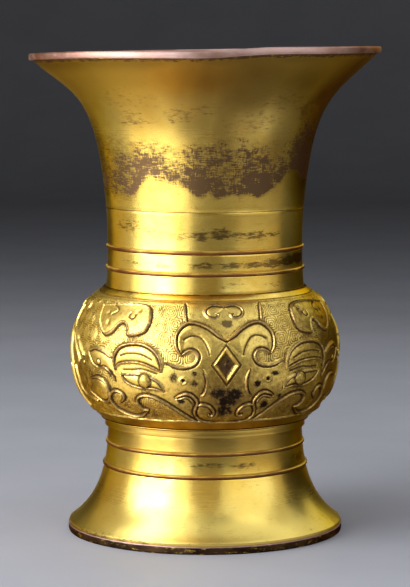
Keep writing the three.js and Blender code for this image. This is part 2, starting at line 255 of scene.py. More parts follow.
neck_middle = (neck_base + seam) / 2
neck_heights = np.linspace(neck_base, seam, NECK_ROWS)
neck_bend = np.polyfit(
    [neck_base, neck_middle, seam], [NECK_LOW_RADIUS, NECK_WAIST_RADIUS, SEAM_RADIUS], 2
)
neck_outside = np.stack([np.polyval(neck_bend, neck_heights), neck_heights], axis=1)

trumpet_flare = sweep(
    (SEAM_RADIUS, seam),
    TRUMPET_LOW_PULL,
    (trumpet_edge_radius, trumpet_top - TRUMPET_EDGE_UPRIGHT),
    TRUMPET_EDGE_PULL,
)
trumpet_outside = np.concatenate([trumpet_flare, [[trumpet_edge_radius, trumpet_top]]])
trumpet_inside = moved(trumpet_flare, -WALL)
mouth_radius = radius_at(trumpet_inside, trumpet_top)

neck_spigot_radius = NECK_LOW_RADIUS - WALL + SPIGOT_WALL
bulb_top_bore = neck_spigot_radius + SOLDER_GAP
foot_spigot_bore = FOOT_NECK_RADIUS - WALL
foot_spigot_radius = foot_spigot_bore + SPIGOT_WALL
bulb_low_bore = foot_spigot_radius + SOLDER_GAP
lap_radius = SEAM_RADIUS - WALL + LAP_WALL


# Wear of the gilding. The trumpet has a band of it:
# [angle, lower edge, faint upper end, strength, softness of the lower edge]
TRUMPET_WEAR = [
    [-180, 179, 204, 0.6, 4], [-160, 177, 208, 0.85, 4], [-140, 184, 205, 0.65, 6],
    [-120, 178, 209, 0.9, 4], [-100, 180, 208, 0.65, 6], [-84, 178, 210, 0.7, 8],
    [-70, 177, 208, 0.72, 8], [-60, 176, 209, 0.92, 6], [-50, 177, 208, 1.0, 5],
    [-46, 184, 208, 1.02, 8], [-40, 188, 207, 1.0, 9], [-33, 186, 207, 0.94, 9],
    [-28, 184, 205, 0.84, 8], [-23, 183, 204, 0.78, 6], [-18, 180, 206, 0.94, 4],
    [-13, 177.5, 208, 1.08, 3], [-9.5, 177, 210, 1.05, 3], [-7, 179, 214, 0.84, 4],
    [-2, 176, 216, 0.88, 3], [4, 178, 217, 0.8, 4], [10, 177.5, 215, 0.85, 4],
    [15, 178.5, 211, 0.98, 3], [21, 176.5, 210, 1.1, 3], [26, 178, 209, 1.02, 3],
    [31, 181, 208, 0.86, 4], [38, 184, 211, 0.78, 5], [42, 189, 218, 0.68, 5], [48, 189, 226, 0.95, 4],
    [58, 186, 226, 1.12, 4], [70, 184, 214, 0.95, 4], [90, 180, 205, 0.75, 5], [115, 176, 210, 0.95, 4],
    [140, 183, 204, 0.65, 6], [160, 178, 207, 0.85, 4], [180, 179, 204, 0.6, 4],
]

# Painted shadow close under the lip, and a wider painted shade below it: strength, how far below the lip
# each starts, and where both are full
LIP_SHADE = 0.8
LIP_SHADE_DEPTH = 2.4
LIP_WIDE_SHADE = 0.55
LIP_WIDE_SHADE_DEPTH = 9.0
LIP_FULL_DEPTH = 1.0

# Smooth painted shade on the trumpet, darkest on its right: [angle, height, half angle, half height,
# strength]
TRUMPET_SHADE = [
    [-42, 217, 26, 12, 0.3], [-13, 226, 14, 30, 0.55], [8, 220, 20, 32, 0.62], [33, 216, 18, 34, 0.66],
    [62, 214, 26, 46, 0.95], [88, 214, 24, 46, 0.95], [150, 218, 40, 24, 0.6], [-140, 216, 40, 24, 0.6],
]

# Smooth painted shade on the waist and the foot
FOOT_SHADE = [
    [58, 50, 22, 22, 0.6], [-64, 50, 12, 22, 0.15], [-70, 14, 24, 14, 0.35], [170, 40, 40, 20, 0.5],
]

# Stains and rubbed places drawn out round the axis: [angle, height, half angle, half height, strength]
TRUMPET_STAINS = [
    [-74, 192, 12, 14, 0.55], [-46, 226, 26, 8, 0.42], [-12, 221, 14, 6, 0.5], [16, 214, 20, 8, 0.58],
    [30, 224, 24, 10, 0.5], [49, 220, 9, 6, 1.25], [-20, 218, 12, 6, 0.58], [-46, 216, 14, 6, 0.56],
    [62, 205, 14, 22, 0.8], [130, 215, 30, 16, 0.45], [-140, 212, 30, 14, 0.45],
]
NECK_STAINS = [
    [-58, 161.5, 18, 4, 0.66], [-38, 159, 12, 3, 0.62], [-24, 157.5, 9, 2.6, 0.7],
    [-11, 157.8, 9, 3.4, 0.8], [0, 158.6, 9, 4, 0.95], [10, 158, 8, 3, 0.75], [22, 157.5, 12, 3, 0.82],
    [33, 158, 8, 2.5, 0.7], [-52, 143.2, 16, 2.2, 0.68], [-30, 142.6, 14, 1.4, 0.74],
    [-10, 142.6, 10, 2.2, 0.86], [6, 142.8, 12, 1.5, 0.95], [20, 142.8, 10, 2.2, 1.0],
    [34, 143.2, 12, 3, 1.05], [48, 143.6, 12, 3.4, 1.12], [62, 144, 14, 3.6, 1.15],
    [4, 133, 14, 2.5, 0.55], [34, 132, 10, 3.0, 0.5], [120, 158, 30, 4, 0.75], [-140, 145, 30, 3, 0.75],
    [175, 160, 24, 4, 0.7], [110, 143, 24, 2.5, 0.8],
]
FOOT_STAINS = [
    [-6, 41.5, 16, 1.8, 0.7], [13, 41, 12, 1.8, 0.76], [60, 41, 18, 3, 0.7], [-50, 5, 36, 2.0, 0.62],
    [150, 28, 26, 9, 0.7], [-150, 24, 24, 9, 0.7],
]


# A soft spot is whole within its core and gone at its edge, in shares of its half sizes
SPOT_CORE = 0.35
SPOT_EDGE = 1.45


def wrapped(angle):
    return (angle + 180.0) % 360.0 - 180.0


def smooth_step(low, high, value):
    t = np.clip((value - low) / (high - low), 0.0, 1.0)
    return t * t * (3.0 - 2.0 * t)


def plain_field(angle, height):
    return np.zeros(np.broadcast(angle, height).shape)


def patch_field(angle, height, patches):
    """Strength of soft spots at each place. Where they overlap, the strongest counts."""
    found = plain_field(angle, height)
    for middle, level, half_angle, half_height, strength in patches:
        across = wrapped(angle - middle) / half_angle
        along = (height - level) / half_height
        reach = np.sqrt(across**2 + along**2)
        found = np.maximum(found, strength * smooth_step(SPOT_EDGE, SPOT_CORE, reach))
    return found


def spots(patches):
    """The field of one list of soft spots."""
    def field(angle, height):
        return patch_field(angle, height, patches)
    return field


def under_lip(height, depth):
    return smooth_step(lip_low - depth, lip_low - LIP_FULL_DEPTH, height)


def trumpet_wear(angle, height):
    """How worn the trumpet's gilding is: most at the sharp lower edge of the band. Close under the lip it
    also paints the lip's shadow.
    """
    knots = np.array(TRUMPET_WEAR)
    low, high, strength, soft = (np.interp(angle, knots[:, 0], column) for column in knots.T[1:])
    start = np.clip(0.5 + (height - low) / soft, 0.0, 1.0)
    fade = np.sqrt(np.clip((high - height) / (high - low), 0.0, 1.0))
    return np.maximum(strength * np.minimum(start, fade), LIP_SHADE * under_lip(height, LIP_SHADE_DEPTH))


# Painted shade of the trumpet, with the wider painted shade under the lip
def trumpet_tarnish(angle, height):
    at_lip = LIP_WIDE_SHADE * under_lip(height, LIP_WIDE_SHADE_DEPTH)
    return np.maximum(patch_field(angle, height, TRUMPET_SHADE), at_lip)


def seen_round(angle, knots):
    """Values between knots that are placed by their angle from the camera."""
    table = np.array(knots)
    return np.interp(wrapped(angle - CAMERA_TURN), table[:, 0], table[:, 1])


# How pale the copper of the lip is, which paints light and shade on it by the angle from the camera: [angle
# from the camera, paleness]
LIP_PAINTED_LIGHT = [
    [-180, 0.5], [-100, 0.35], [-58, 0.12], [-38, 0.1], [-19, 0.35], [-9, 0.7], [0, 0.75], [8, 0.55],
    [18, 1.0], [33, 0.75], [57, 0.25], [110, 0.4], [180, 0.5],
]


def lip_painted_light(angle, height):
    return seen_round(angle, LIP_PAINTED_LIGHT) + plain_field(angle, height)


# Damage of the lip, which the photo shows as a wave: [angle from the camera, rise]
LIP_WAVE = [
    [-180, 0.4], [-130, -0.8], [-90, -1.9], [-62, -1.2], [-40, -0.25], [-20, -0.3], [0, -0.35],
    [6, 0.1], [12, 0.9], [20, 1.65], [28, 1.8], [40, 1.85], [60, 2.1], [95, 2.0], [140, 1.2], [180, 0.4],
]
LIP_WAVE_DEPTH = 34.0
LIP_WAVE_FADE = 1.5


def lip_rise(angle, height):
    """Rise of the bent lip at each place: it dies out down the trumpet."""
    share = smooth_step(lip_top - LIP_WAVE_DEPTH, lip_top, height)
    return seen_round(angle, LIP_WAVE) * share**LIP_WAVE_FADE


# Meshes

def make_mesh(name, points, faces, values):
    mesh = bpy.data.meshes.new(name)
    mesh.from_pydata((points * MM).tolist(), [], faces)
    mesh.polygons.foreach_set("use_smooth", np.ones(len(mesh.polygons), dtype=bool))
    for key, field in values.items():
        layer = mesh.attributes.new(key, "FLOAT", "POINT")
        layer.data.foreach_set("value", np.ascontiguousarray(field, dtype=np.float32).ravel())
    mesh.update()
    mesh.set_sharp_from_angle(angle=SHARP_EDGE)
    piece = bpy.data.objects.new(name, mesh)
    bpy.context.scene.collection.objects.link(piece)
    return piece


def grid_faces(rows, columns, closed=True):
    """Quads between rings of points, and back to the first ring if the section is closed."""
    near = np.arange(rows if closed else rows - 1)[:, None] * columns
    far = (near + columns) % (rows * columns)
    column = np.arange(columns)[None, :]
    beside = (column + 1) % columns
    quads = np.stack([near + column, near + beside, far + beside, far + column], axis=2)
    return quads.reshape(-1, 4).tolist()


def ring_angles(columns):
    return np.linspace(-180.0, 180.0, columns, endpoint=False)


def on_rings(angles, radii, heights):
    """Points round the axis, ring after ring."""
    turn = np.radians(angles)[None, :]
    return np.stack([radii * np.sin(turn), -radii * np.cos(turn), heights], axis=2).reshape(-1, 3)


def ring_points(section, columns, rise=None):
    angles = ring_angles(columns)
    heights = np.repeat(section[:, 1][:, None], columns, axis=1)
    if rise is not None:
        heights = heights + rise(angles[None, :], heights)
    return on_rings(angles, section[:, 0][:, None], heights)


def finish_piece(piece, node, look):
    piece.data.materials.append(look)
    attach(piece, "root")
    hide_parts(node)


def turned(node, section, slot, look, shell=None, rise=None, **fields):
    """A turned ring that stands for a CAD node: the section runs up its outside and down its inside.

    A shell is the outline of a gilded wall whose inner side is plain. The fields are wear, stain and
    tarnish, which mark the outside. The wear field also paints light and shade on the lip, the ribs
    and under the lip, and the tarnish field paints shade.
    """
    section = divided(filleted(np.array(section)))
    angles = ring_angles(COLUMNS)[None, :]
    heights = section[:, 1][:, None]
    inside = plain_field(angles, heights)
    if shell is not None:
        outer = np.interp(section[:, 1], shell[:, 1], shell[:, 0])
        inside[:] = (section[:, 0] < outer - WALL / 2)[:, None]
    values = {}
    for name in ("wear", "stain", "tarnish"):
        field = fields.get(name, plain_field)
        values[name] = field(angles, heights) * (1.0 - inside)
    values["inside"] = inside
    faces = grid_faces(len(section), COLUMNS)
    piece = make_mesh(node + "_turned", ring_points(section, COLUMNS, rise), faces, values)
    finish_piece(piece, node, look)


# Materials

class Look:
    """A material with short calls for its nodes. Places are in millimetres."""

    def __init__(self, name):
        self.material = bpy.data.materials.new(name)
        self.material.use_nodes = True
        self.tree = self.material.node_tree
        self.place = self.scaled(self.node("TexCoord", "Object", {}), (1 / MM,) * 3)

    def fill(self, node, inputs):
        """Sets or links the inputs of a node, by name or number."""
        for key, value in inputs.items():
            if isinstance(value, bpy.types.NodeSocket):
                self.tree.links.new(value, node.inputs[key])
            else:
                node.inputs[key].default_value = value

    def node(self, kind, output, inputs, **settings):
        """Makes a node and returns one of its outputs."""
        made = self.tree.nodes.new("ShaderNode" + kind)
        for key, value in settings.items():
            setattr(made, key, value)
        self.fill(made, inputs)
        return made.outputs[output]

    def scaled(self, vector, factors):
        return self.node("VectorMath", 0, {0: vector, 1: factors}, operation="MULTIPLY")

    def math(self, operation, first, second=0.0):
        return self.node("Math", 0, {0: first, 1: second}, operation=operation)

    def times(self, first, second):
        return self.math("MULTIPLY", first, second)

    def plus(self, first, second):
        return self.math("ADD", first, second)

    def noise(self, period, stretch=(1.0, 1.0, 1.0), detail=3.0, rough=0.5):
        """Noise whose grain is about period millimetres, times stretch along each axis."""
        place = self.scaled(self.place, tuple(1 / s for s in stretch))
        inputs = {"Vector": place, "Scale": 1.0 / period, "Detail": detail, "Roughness": rough}
        return self.node("TexNoise", "Fac", inputs)

    def ramp(self, value, low, high, first=0.0, last=1.0):
        """A smooth change from first to last as the value goes from low to high."""
        inputs = dict(enumerate((value, low, high, first, last)))
        return self.node("MapRange", 0, inputs, interpolation_type="SMOOTHSTEP")

    def blend(self, factor, first, second, kind="RGBA"):
        inputs = {"Factor": factor, "A": first, "B": second}
        return self.node("Mix", "Result", inputs, data_type=kind)

    def blend_value(self, factor, first, second):
        return self.blend(factor, first, second, "FLOAT")

    def height(self):
        return self.node("SeparateXYZ", "Z", {0: self.place})

    def value(self, name):
        return self.node("Attribute", "Fac", {}, attribute_name=name)

    def marked(self, name, grain, share):
        """A value of the mesh, made ragged by a share of noise."""
        return self.plus(self.value(name), self.times(grain, share))

    def bump(self, height, depth, normal=None):
        inputs = {"Height": height, "Distance": depth * MM, "Strength": 1.0}
        if normal is not None:
            inputs["Normal"] = normal
        return self.node("Bump", "Normal", inputs)

    def finish(self, colour, rough, normal, metallic=1.0):
        inputs = {"Base Color": colour, "Metallic": metallic, "Roughness": rough, "Normal": normal}
        if metallic == 1.0:
            inputs["Specular Tint"] = EDGE_TINT
        self.fill(self.tree.nodes["Principled BSDF"], inputs)
        return self.material


# Colours
GOLD = (0.87, 0.595, 0.12, 1.0)
GOLD_DEEP = (0.79, 0.49, 0.075, 1.0)
GOLD_PALE = (0.92, 0.645, 0.14, 1.0)
GOLD_FOOT = (0.87, 0.618, 0.135, 1.0)
CREST = (0.25, 0.15, 0.085, 1.0)
TONED_GOLD_AND_SHADE = (0.37, 0.215, 0.04, 1.0)
STAIN_AND_SHADE = (0.17, 0.095, 0.03, 1.0)
TARNISH_AND_SHADE = (0.13, 0.075, 0.02, 1.0)
WORN_AND_SHADOW = (0.10, 0.052, 0.026, 1.0)
COPPER = (0.34, 0.17, 0.11, 1.0)
COPPER_PALE = (0.52, 0.33, 0.25, 1.0)
COPPER_DARK = (0.2, 0.08, 0.026, 1.0)
BROWN = (0.06, 0.028, 0.011, 1.0)
GRIME = (0.25, 0.128, 0.022, 1.0)
PATINA = (0.024, 0.012, 0.006, 1.0)
PATINA_PALE = (0.085, 0.042, 0.018, 1.0)
BRONZE = (0.20, 0.11, 0.035, 1.0)
SOOT = (0.018, 0.011, 0.006, 1.0)
EDGE_TINT = (0.5, 0.31, 0.085, 1.0)

# Noise: the range that it mostly keeps to, and how far it is drawn out along each axis
NOISE_RANGE = (0.3, 0.7)
AROUND = (60.0, 60.0, 1.0)
SCRATCHED_ROUND = (7.0, 7.0, 1.0)
SCRATCHED_DOWN = (1.0, 1.0, 8.0)
DRAWN_ROUND = (3.6, 3.6, 1.0)

# Heights between which a look changes
TURNED_LEVELS = (30.0, 44.0)
# Heights where the upper flare turns duller: partly a toned finish, partly painted shade
FLARE_TONE_AND_SHADE_LEVELS = (196.0, 240.0)
# Heights where the painted shade on the waist under the belly grows, and where it ends
WAIST_SHADE_LEVELS = (39.0, 54.0)
WAIST_SHADE_END = (66.0, 63.0)
SATIN_FOOT = (34.0, 6.0)
RUBBED_EDGE = (foot_base - 1.3, foot_base)
# Heights over which the belly grows darker towards the bottom
BELLY_LOW_DARKENING = (96.0, 68.0)
# Heights of a painted shadow along the belly's lower edge, above the waist collar
BULB_EDGE_SHADOW = (bulb_base + 0.9, bulb_base + 0.3)

# The belly's border lines, and the plain skirt under the lower one, which is darkened by painted shade
LOWER_BORDER = 65.3
UPPER_BORDER = 124.9
SHADED_SKIRT_LEVELS = (LOWER_BORDER - 0.4, LOWER_BORDER - 1.2)

# Distances from a joint between which its dirt grows
JOINT_DIRT = (0.4, 0.1)

# Roughness
ROUGH_FLARE = 0.42
ROUGH_FOOT = 0.31
ROUGH_WORN = 0.5
ROUGH_HOLLOW = 0.58
ROUGH_SOOT = 0.6
ROUGH_FLOOR = 0.6


def gilt_look():
    """Burnished gilding: fine turned lines, worn to brown in scratched patches, dull bronze inside. Painted
    shade darkens the waist under the belly, the upper flare, the tarnish patches and the band under the
    lip.
    """
    look = Look("burnished_gilding")
    lines = look.noise(0.5, AROUND, detail=4.0, rough=0.65)
    cloud = look.noise(22.0, detail=3.0)
    blotch = look.noise(4.5, (1.6, 1.6, 1.0), detail=6.0, rough=0.7)
    round_scratch = look.noise(0.5, SCRATCHED_ROUND, detail=3.0, rough=0.6)
    down_scratch = look.noise(0.6, SCRATCHED_DOWN, detail=3.0, rough=0.6)
    colour = look.blend(look.ramp(cloud, 0.35, 0.7), GOLD, GOLD_DEEP)
    colour = look.blend(look.ramp(lines, 0.5, 0.85, 0.0, 0.15), colour, GOLD_DEEP)
    height = look.height()
    satin = look.ramp(height, *SATIN_FOOT)
    colour = look.blend(satin, colour, GOLD_FOOT)
    # Painted shade on the waist under the belly, towards the dull toned colour
    waist_shade = look.ramp(height, *WAIST_SHADE_LEVELS, 0.0, 0.77)
    waist_shade = look.times(waist_shade, look.ramp(height, *WAIST_SHADE_END))
    # The upper flare turns duller: partly a toned finish, partly painted shade
    flare_tone_and_shade = look.ramp(height, *FLARE_TONE_AND_SHADE_LEVELS, 0.0, 0.84)
    colour = look.blend(look.math("MAXIMUM", flare_tone_and_shade, waist_shade), colour, TONED_GOLD_AND_SHADE)
    # Painted shade from the tarnish field: a smooth, dull darkening
    dulled_and_shaded = look.times(look.value("tarnish"), look.ramp(cloud, *NOISE_RANGE, 0.9, 1.1))
    colour = look.blend(dulled_and_shaded, colour, TARNISH_AND_SHADE)
    streaks = look.noise(1.2, DRAWN_ROUND, detail=6.0, rough=0.72)
    stain = look.plus(look.times(streaks, 2.4), look.times(blotch, 0.5))
    stain = look.ramp(look.plus(look.value("stain"), stain), 1.9, 2.4, 0.0, 0.9)
    stain = look.times(stain, look.ramp(look.value("stain"), 0.02, 0.25))
    colour = look.blend(stain, colour, STAIN_AND_SHADE)
    for joint in (seam, neck_base):
        away = look.math("ABSOLUTE", look.math("SUBTRACT", height, joint))
        dirt = look.times(look.ramp(away, *JOINT_DIRT), look.ramp(blotch, 0.35, 0.6, 0.1, 0.6))
        colour = look.blend(dirt, colour, BROWN)
    woven = look.plus(round_scratch, look.times(down_scratch, 0.7))
    edge = look.plus(look.times(blotch, 1.5), look.times(woven, 1.1))
    # The wear field also carries the painted shadow under the lip.
    amount = look.plus(look.value("wear"), edge)
    worn = look.ramp(amount, 2.14, 2.46)
    haze = look.ramp(amount, 1.75, 2.3, 0.0, 0.6)
    colour = look.blend(haze, colour, TONED_GOLD_AND_SHADE)
    colour = look.blend(look.times(worn, 0.94), colour, WORN_AND_SHADOW)
    inside = look.value("inside")
    inner = look.blend(look.ramp(cloud, *NOISE_RANGE), BRONZE, TONED_GOLD_AND_SHADE)
    inner = look.blend(look.ramp(streaks, 0.45, 0.75, 0.0, 0.6), inner, STAIN_AND_SHADE)
    colour = look.blend(inside, colour, inner)
    rough = look.ramp(lines, 0.3, 0.8, 0.22, 0.28)
    rough = look.blend_value(flare_tone_and_shade, rough, ROUGH_FLARE)
    rough = look.blend_value(satin, rough, ROUGH_FOOT)
    rough = look.blend_value(worn, rough, ROUGH_WORN)
    rough = look.blend_value(inside, rough, ROUGH_WORN)
    normal = look.bump(look.times(lines, look.ramp(height, *TURNED_LEVELS)), 0.003)
    normal = look.bump(look.noise(14.0, detail=2.0), 0.2, normal)
    return look.finish(colour, rough, normal)


def copper_look(name, dark, pale):
    """Copper-rich metal with rests of gilding on it, paler where the wear attribute says. On the lip that
    paleness is painted light and shade; on the ribs it is rests of gilding with a painted highlight on
    their tops.
    """
    look = Look(name)
    lines = look.noise(0.6, AROUND, detail=3.0)
    patches = look.noise(7.0, (2.0, 2.0, 1.0), detail=5.0, rough=0.6)
    tone = look.plus(look.value("wear"), look.ramp(patches, *NOISE_RANGE, -0.25, 0.25))
    colour = look.blend(look.ramp(tone, 0.0, 1.0), dark, pale)
    colour = look.blend(look.ramp(patches, 0.62, 0.76, 0.0, 0.6), colour, GOLD)
    colour = look.blend(look.ramp(lines, 0.55, 0.9, 0.0, 0.5), colour, BROWN)
    rough = look.ramp(patches, *NOISE_RANGE, 0.36, 0.5)
    normal = look.bump(look.noise(2.4, detail=4.0), 0.08)
    return look.finish(colour, rough, normal)


def dark_look():
    """Dark brown patina, rubbed through to metal in flecks."""
    look = Look("dark_bronze_patina")
    flecks = look.noise(1.6, (3.0, 3.0, 1.0), detail=6.0, rough=0.7)
    cloud = look.noise(11.0, detail=4.0)
    colour = look.blend(look.ramp(cloud, 0.35, 0.7), PATINA, PATINA_PALE)
    colour = look.blend(look.ramp(flecks, 0.55, 0.68, 0.0, 0.75), colour, GOLD_DEEP)
    rubbed = look.plus(look.ramp(look.height(), *RUBBED_EDGE), flecks)
    colour = look.blend(look.ramp(rubbed, 0.9, 1.4, 0.0, 0.8), colour, COPPER_PALE)
    rough = look.ramp(flecks, 0.35, 0.7, 0.55, 0.36)
    normal = look.bump(flecks, 0.12)
    return look.finish(colour, rough, normal)


def dull_look():
    """Ungilded bronze with a dull patina."""
    look = Look("dull_bronze")
    cloud = look.noise(9.0, detail=5.0, rough=0.6)
    colour = look.blend(look.ramp(cloud, *NOISE_RANGE), BROWN, BRONZE)
    rough = look.ramp(cloud, *NOISE_RANGE, 0.65, 0.45)
    normal = look.bump(cloud, 0.15)
    return look.finish(colour, rough, normal)


def relief_look():
    """Gilding on the relief: dark in the hollows, brown on the crests, soot and rubbed spots. It grows
    darker towards the bottom, and painted shade darkens the skirt and the belly's lower edge.
    """
    look = Look("gilded_relief")
    cloud = look.noise(10.0, detail=4.0)
    height = look.height()
    shaded_skirt = look.ramp(height, *SHADED_SKIRT_LEVELS)
    grain = look.blend_value(shaded_skirt, look.noise(1.1, detail=5.0, rough=0.65), 0.4)
    speck = look.blend_value(shaded_skirt, look.noise(2.2, detail=7.0, rough=0.75), 0.4)
    hatch = look.value("hatch")
    hollow = look.ramp(look.marked("hollow", grain, 0.7), 0.55, 1.0)
    crest = look.times(look.value("crest"), look.ramp(grain, 0.25, 0.55))
    soot = look.marked("soot", speck, 2.4)
    smoke = look.ramp(soot, 1.3, 2.0, 0.0, 0.75)
    soot = look.ramp(soot, 1.7, 2.15, 0.0, 0.96)
    worn = look.ramp(look.marked("wear", speck, 1.8), 1.35, 1.65)
    # The grime patches, and darker towards the bottom of the belly
    grime_and_low_darkening = look.plus(look.ramp(height, *BELLY_LOW_DARKENING, 0.0, 0.5), look.value("grime_and_low_darkening"))
    pits = look.plus(look.times(grime_and_low_darkening, 0.42), speck)
    pits = look.ramp(pits, 0.5, 0.9, 0.0, 0.86)
    colour = look.blend(look.ramp(cloud, *NOISE_RANGE), GOLD_PALE, GOLD)
    colour = look.blend(look.ramp(hatch, 0.35, -0.6, 0.0, 0.7), colour, BRONZE)
    colour = look.blend(pits, colour, GRIME)
    colour = look.blend(look.times(crest, look.ramp(grime_and_low_darkening, 0.0, 1.0, 0.95, 0.3)), colour, CREST)
    # Painted shade on the skirt under the lower border
    colour = look.blend(look.times(shaded_skirt, look.ramp(cloud, *NOISE_RANGE, 0.3, 0.62)), colour, STAIN_AND_SHADE)
    colour = look.blend(look.times(worn, 0.85), colour, WORN_AND_SHADOW)
    colour = look.blend(look.times(hollow, 0.88), colour, BROWN)
    # Painted shadow along the belly's lower edge
    colour = look.blend(look.ramp(height, *BULB_EDGE_SHADOW, 0.0, 0.9), colour, BROWN)
    colour = look.blend(smoke, colour, WORN_AND_SHADOW)
    colour = look.blend(soot, colour, SOOT)
    rough = look.ramp(grain, *NOISE_RANGE, 0.28, 0.42)
    rough = look.blend_value(hollow, rough, ROUGH_HOLLOW)
    rough = look.blend_value(soot, rough, ROUGH_SOOT)
    normal = look.bump(grain, 0.05)
    normal = look.bump(look.noise(5.0, detail=3.0), 0.1, normal)
    return look.finish(colour, rough, normal)


gilt = gilt_look()
lip_copper = copper_look("lip_copper_with_painted_light", COPPER, COPPER_PALE)
rib_copper = copper_look("rib_copper_with_painted_highlight", COPPER_DARK, GOLD)
dark_bronze = dark_look()
dull_bronze = dull_look()
relief = relief_look()


# The turned pieces

def foot_band():
    upstand_top = top("foot_band")
    upstand_radius = radius_at(foot_inside, upstand_top) - SOLDER_GAP
    bore = upstand_radius - FOOT_BAND_UPSTAND_WALL
    radius = radius_of("foot_band")
    section = [
        [bore, 0.0],
        [radius - FOOT_BAND_CHAMFER[0], 0.0],
        [radius, FOOT_BAND_CHAMFER[1]],
        [radius, foot_base],
        [upstand_radius, foot_base], [upstand_radius, upstand_top], [bore, upstand_top],
    ]
    turned("foot_band", section, "dark_bronze", dark_bronze)


def spreading_foot():
    spigot_top = top("spreading_foot")
    section = np.concatenate([
        grooved(foot_outside, "foot"),
        [[foot_spigot_radius, foot_top], [foot_spigot_radius, spigot_top], [foot_spigot_bore, spigot_top]],
        between(foot_inside, foot_base, foot_top - FOOT_SPIGOT_STEP)[::-1],
    ])
    turned(
        "spreading_foot", section, "gilt", gilt, foot_outside,
        stain=spots(FOOT_STAINS), tarnish=spots(FOOT_SHADE),
    )


def waist_collar():
    section = [
        [bulb_low_bore, foot_top],
        [WAIST_COLLAR_LOW_RADIUS, foot_top],
        [WAIST_COLLAR_LOW_RADIUS - WAIST_TAPER, bulb_base - WAIST_FLANGE - WAIST_FLARE],
        [radius_of("waist_collar"), bulb_base - WAIST_FLANGE],
        [radius_of("waist_collar"), bulb_base],
        [bulb_low_bore, bulb_base],
    ]
    turned("waist_collar", section, "gilt", gilt, tarnish=spots(FOOT_SHADE))


def shoulder_collar():
    section = [
        [bulb_top_bore, bulb_top], [radius_of("shoulder_collar"), bulb_top],
        [SHOULDER_COLLAR_TOP_RADIUS, neck_base], [bulb_top_bore, neck_base],
    ]
    turned("shoulder_collar", section, "gilt", gilt)


def neck_sleeve():
    spigot_bore = neck_spigot_radius - SPIGOT_WALL
    section = np.concatenate([
        [[spigot_bore, bottom("neck_sleeve")], [neck_spigot_radius, bottom("neck_sleeve")]],
        [[neck_spigot_radius, neck_base]],
        grooved(neck_outside, "neck"),
        [[lap_radius, seam], [lap_radius, top("neck_sleeve")], [lap_radius - LAP_WALL, top("neck_sleeve")]],
        [[NECK_WAIST_RADIUS - WALL, neck_middle]],
    ])
    turned("neck_sleeve", section, "gilt", gilt, neck_outside, stain=spots(NECK_STAINS))


def mouth_trumpet():
    rebate_radius = lap_radius + SOLDER_GAP
    rebate_top = top("neck_sleeve") + SOLDER_GAP
    section = np.concatenate([
        trumpet_outside,
        between(trumpet_inside, rebate_top, trumpet_top)[::-1],
        [[rebate_radius, rebate_top], [rebate_radius, seam]],
    ])
    turned(
        "mouth_trumpet", section, "gilt", gilt, trumpet_outside, lip_rise,
        wear=trumpet_wear, stain=spots(TRUMPET_STAINS), tarnish=trumpet_tarnish,
    )


def lip_band():
    skirt_radius = trumpet_edge_radius + SOLDER_GAP
    radius = radius_of("lip_band")
    section = [
        [mouth_radius, trumpet_top], [skirt_radius, trumpet_top], [skirt_radius, lip_low],
        [radius - LIP_CHAMFER[0], lip_low],
        [radius, lip_low + LIP_CHAMFER[1]],
        [radius, lip_top - LIP_WALL_INSET],
        [radius - LIP_WALL_INSET, lip_top],
        [mouth_radius + LIP_WALL_INSET, lip_top],
        [mouth_radius, lip_top - LIP_WALL_INSET],
    ]
    # The lip's paleness round the axis is painted light and shade.
    turned("lip_band", section, "bare_copper", lip_copper, rise=lip_rise, wear=lip_painted_light)


def bowstring_rib(node, outline):
    """A rib: a half round thread in its groove."""
    low = bottom(node)
    high = top(node)
    level = (low + high) / 2
    inner = radius_at(outline, level) - RIB_SEAT + SOLDER_GAP
    proud = radius_of(node) - inner
    swing = np.linspace(-math.pi / 2, math.pi / 2, RIB_POINTS)
    radii = inner + proud * np.cos(swing) ** RIB_ROUND
    heights = level + (high - low) / 2 * np.sin(swing)

    # Gold on the rib's upper part: rests of gilding, and a painted highlight on its lit top
    def gilt_and_highlight_above(angle, height):
        return smooth_step(level + RIB_GILT_AND_HIGHLIGHT, high, height) + plain_field(angle, height)

    section = np.stack([radii, heights], axis=1)
    turned(node, section, "bare_copper", rib_copper, wear=gilt_and_highlight_above)


def floor_disc():
    rim = top("spreading_foot")
    low = bottom("floor_disc")
    plug_radius = foot_spigot_bore - SOLDER_GAP
    radius = foot_spigot_radius + FLOOR_LAP
    section = [
        [AXIS_GAP, low], [plug_radius, low], [plug_radius, rim],
        [radius, rim], [radius, rim + FLOOR_THICKNESS], [AXIS_GAP, rim + FLOOR_THICKNESS],
    ]
    turned("floor_disc", section, "dull_bronze", dull_bronze)


foot_band()
spreading_foot()
waist_collar()
shoulder_collar()
neck_sleeve()
mouth_trumpet()
lip_band()
for part, outline in (("foot", foot_outside), ("neck", neck_outside)):
    for rib in ribs_of(part):
        bowstring_rib(rib, outline)
floor_disc()


# The relief of the belly. Half a mask is drawn in [degrees from its middle, height], and the other
# half and the rear mask repeat it. Threads are raised lines, and pads are raised forms.

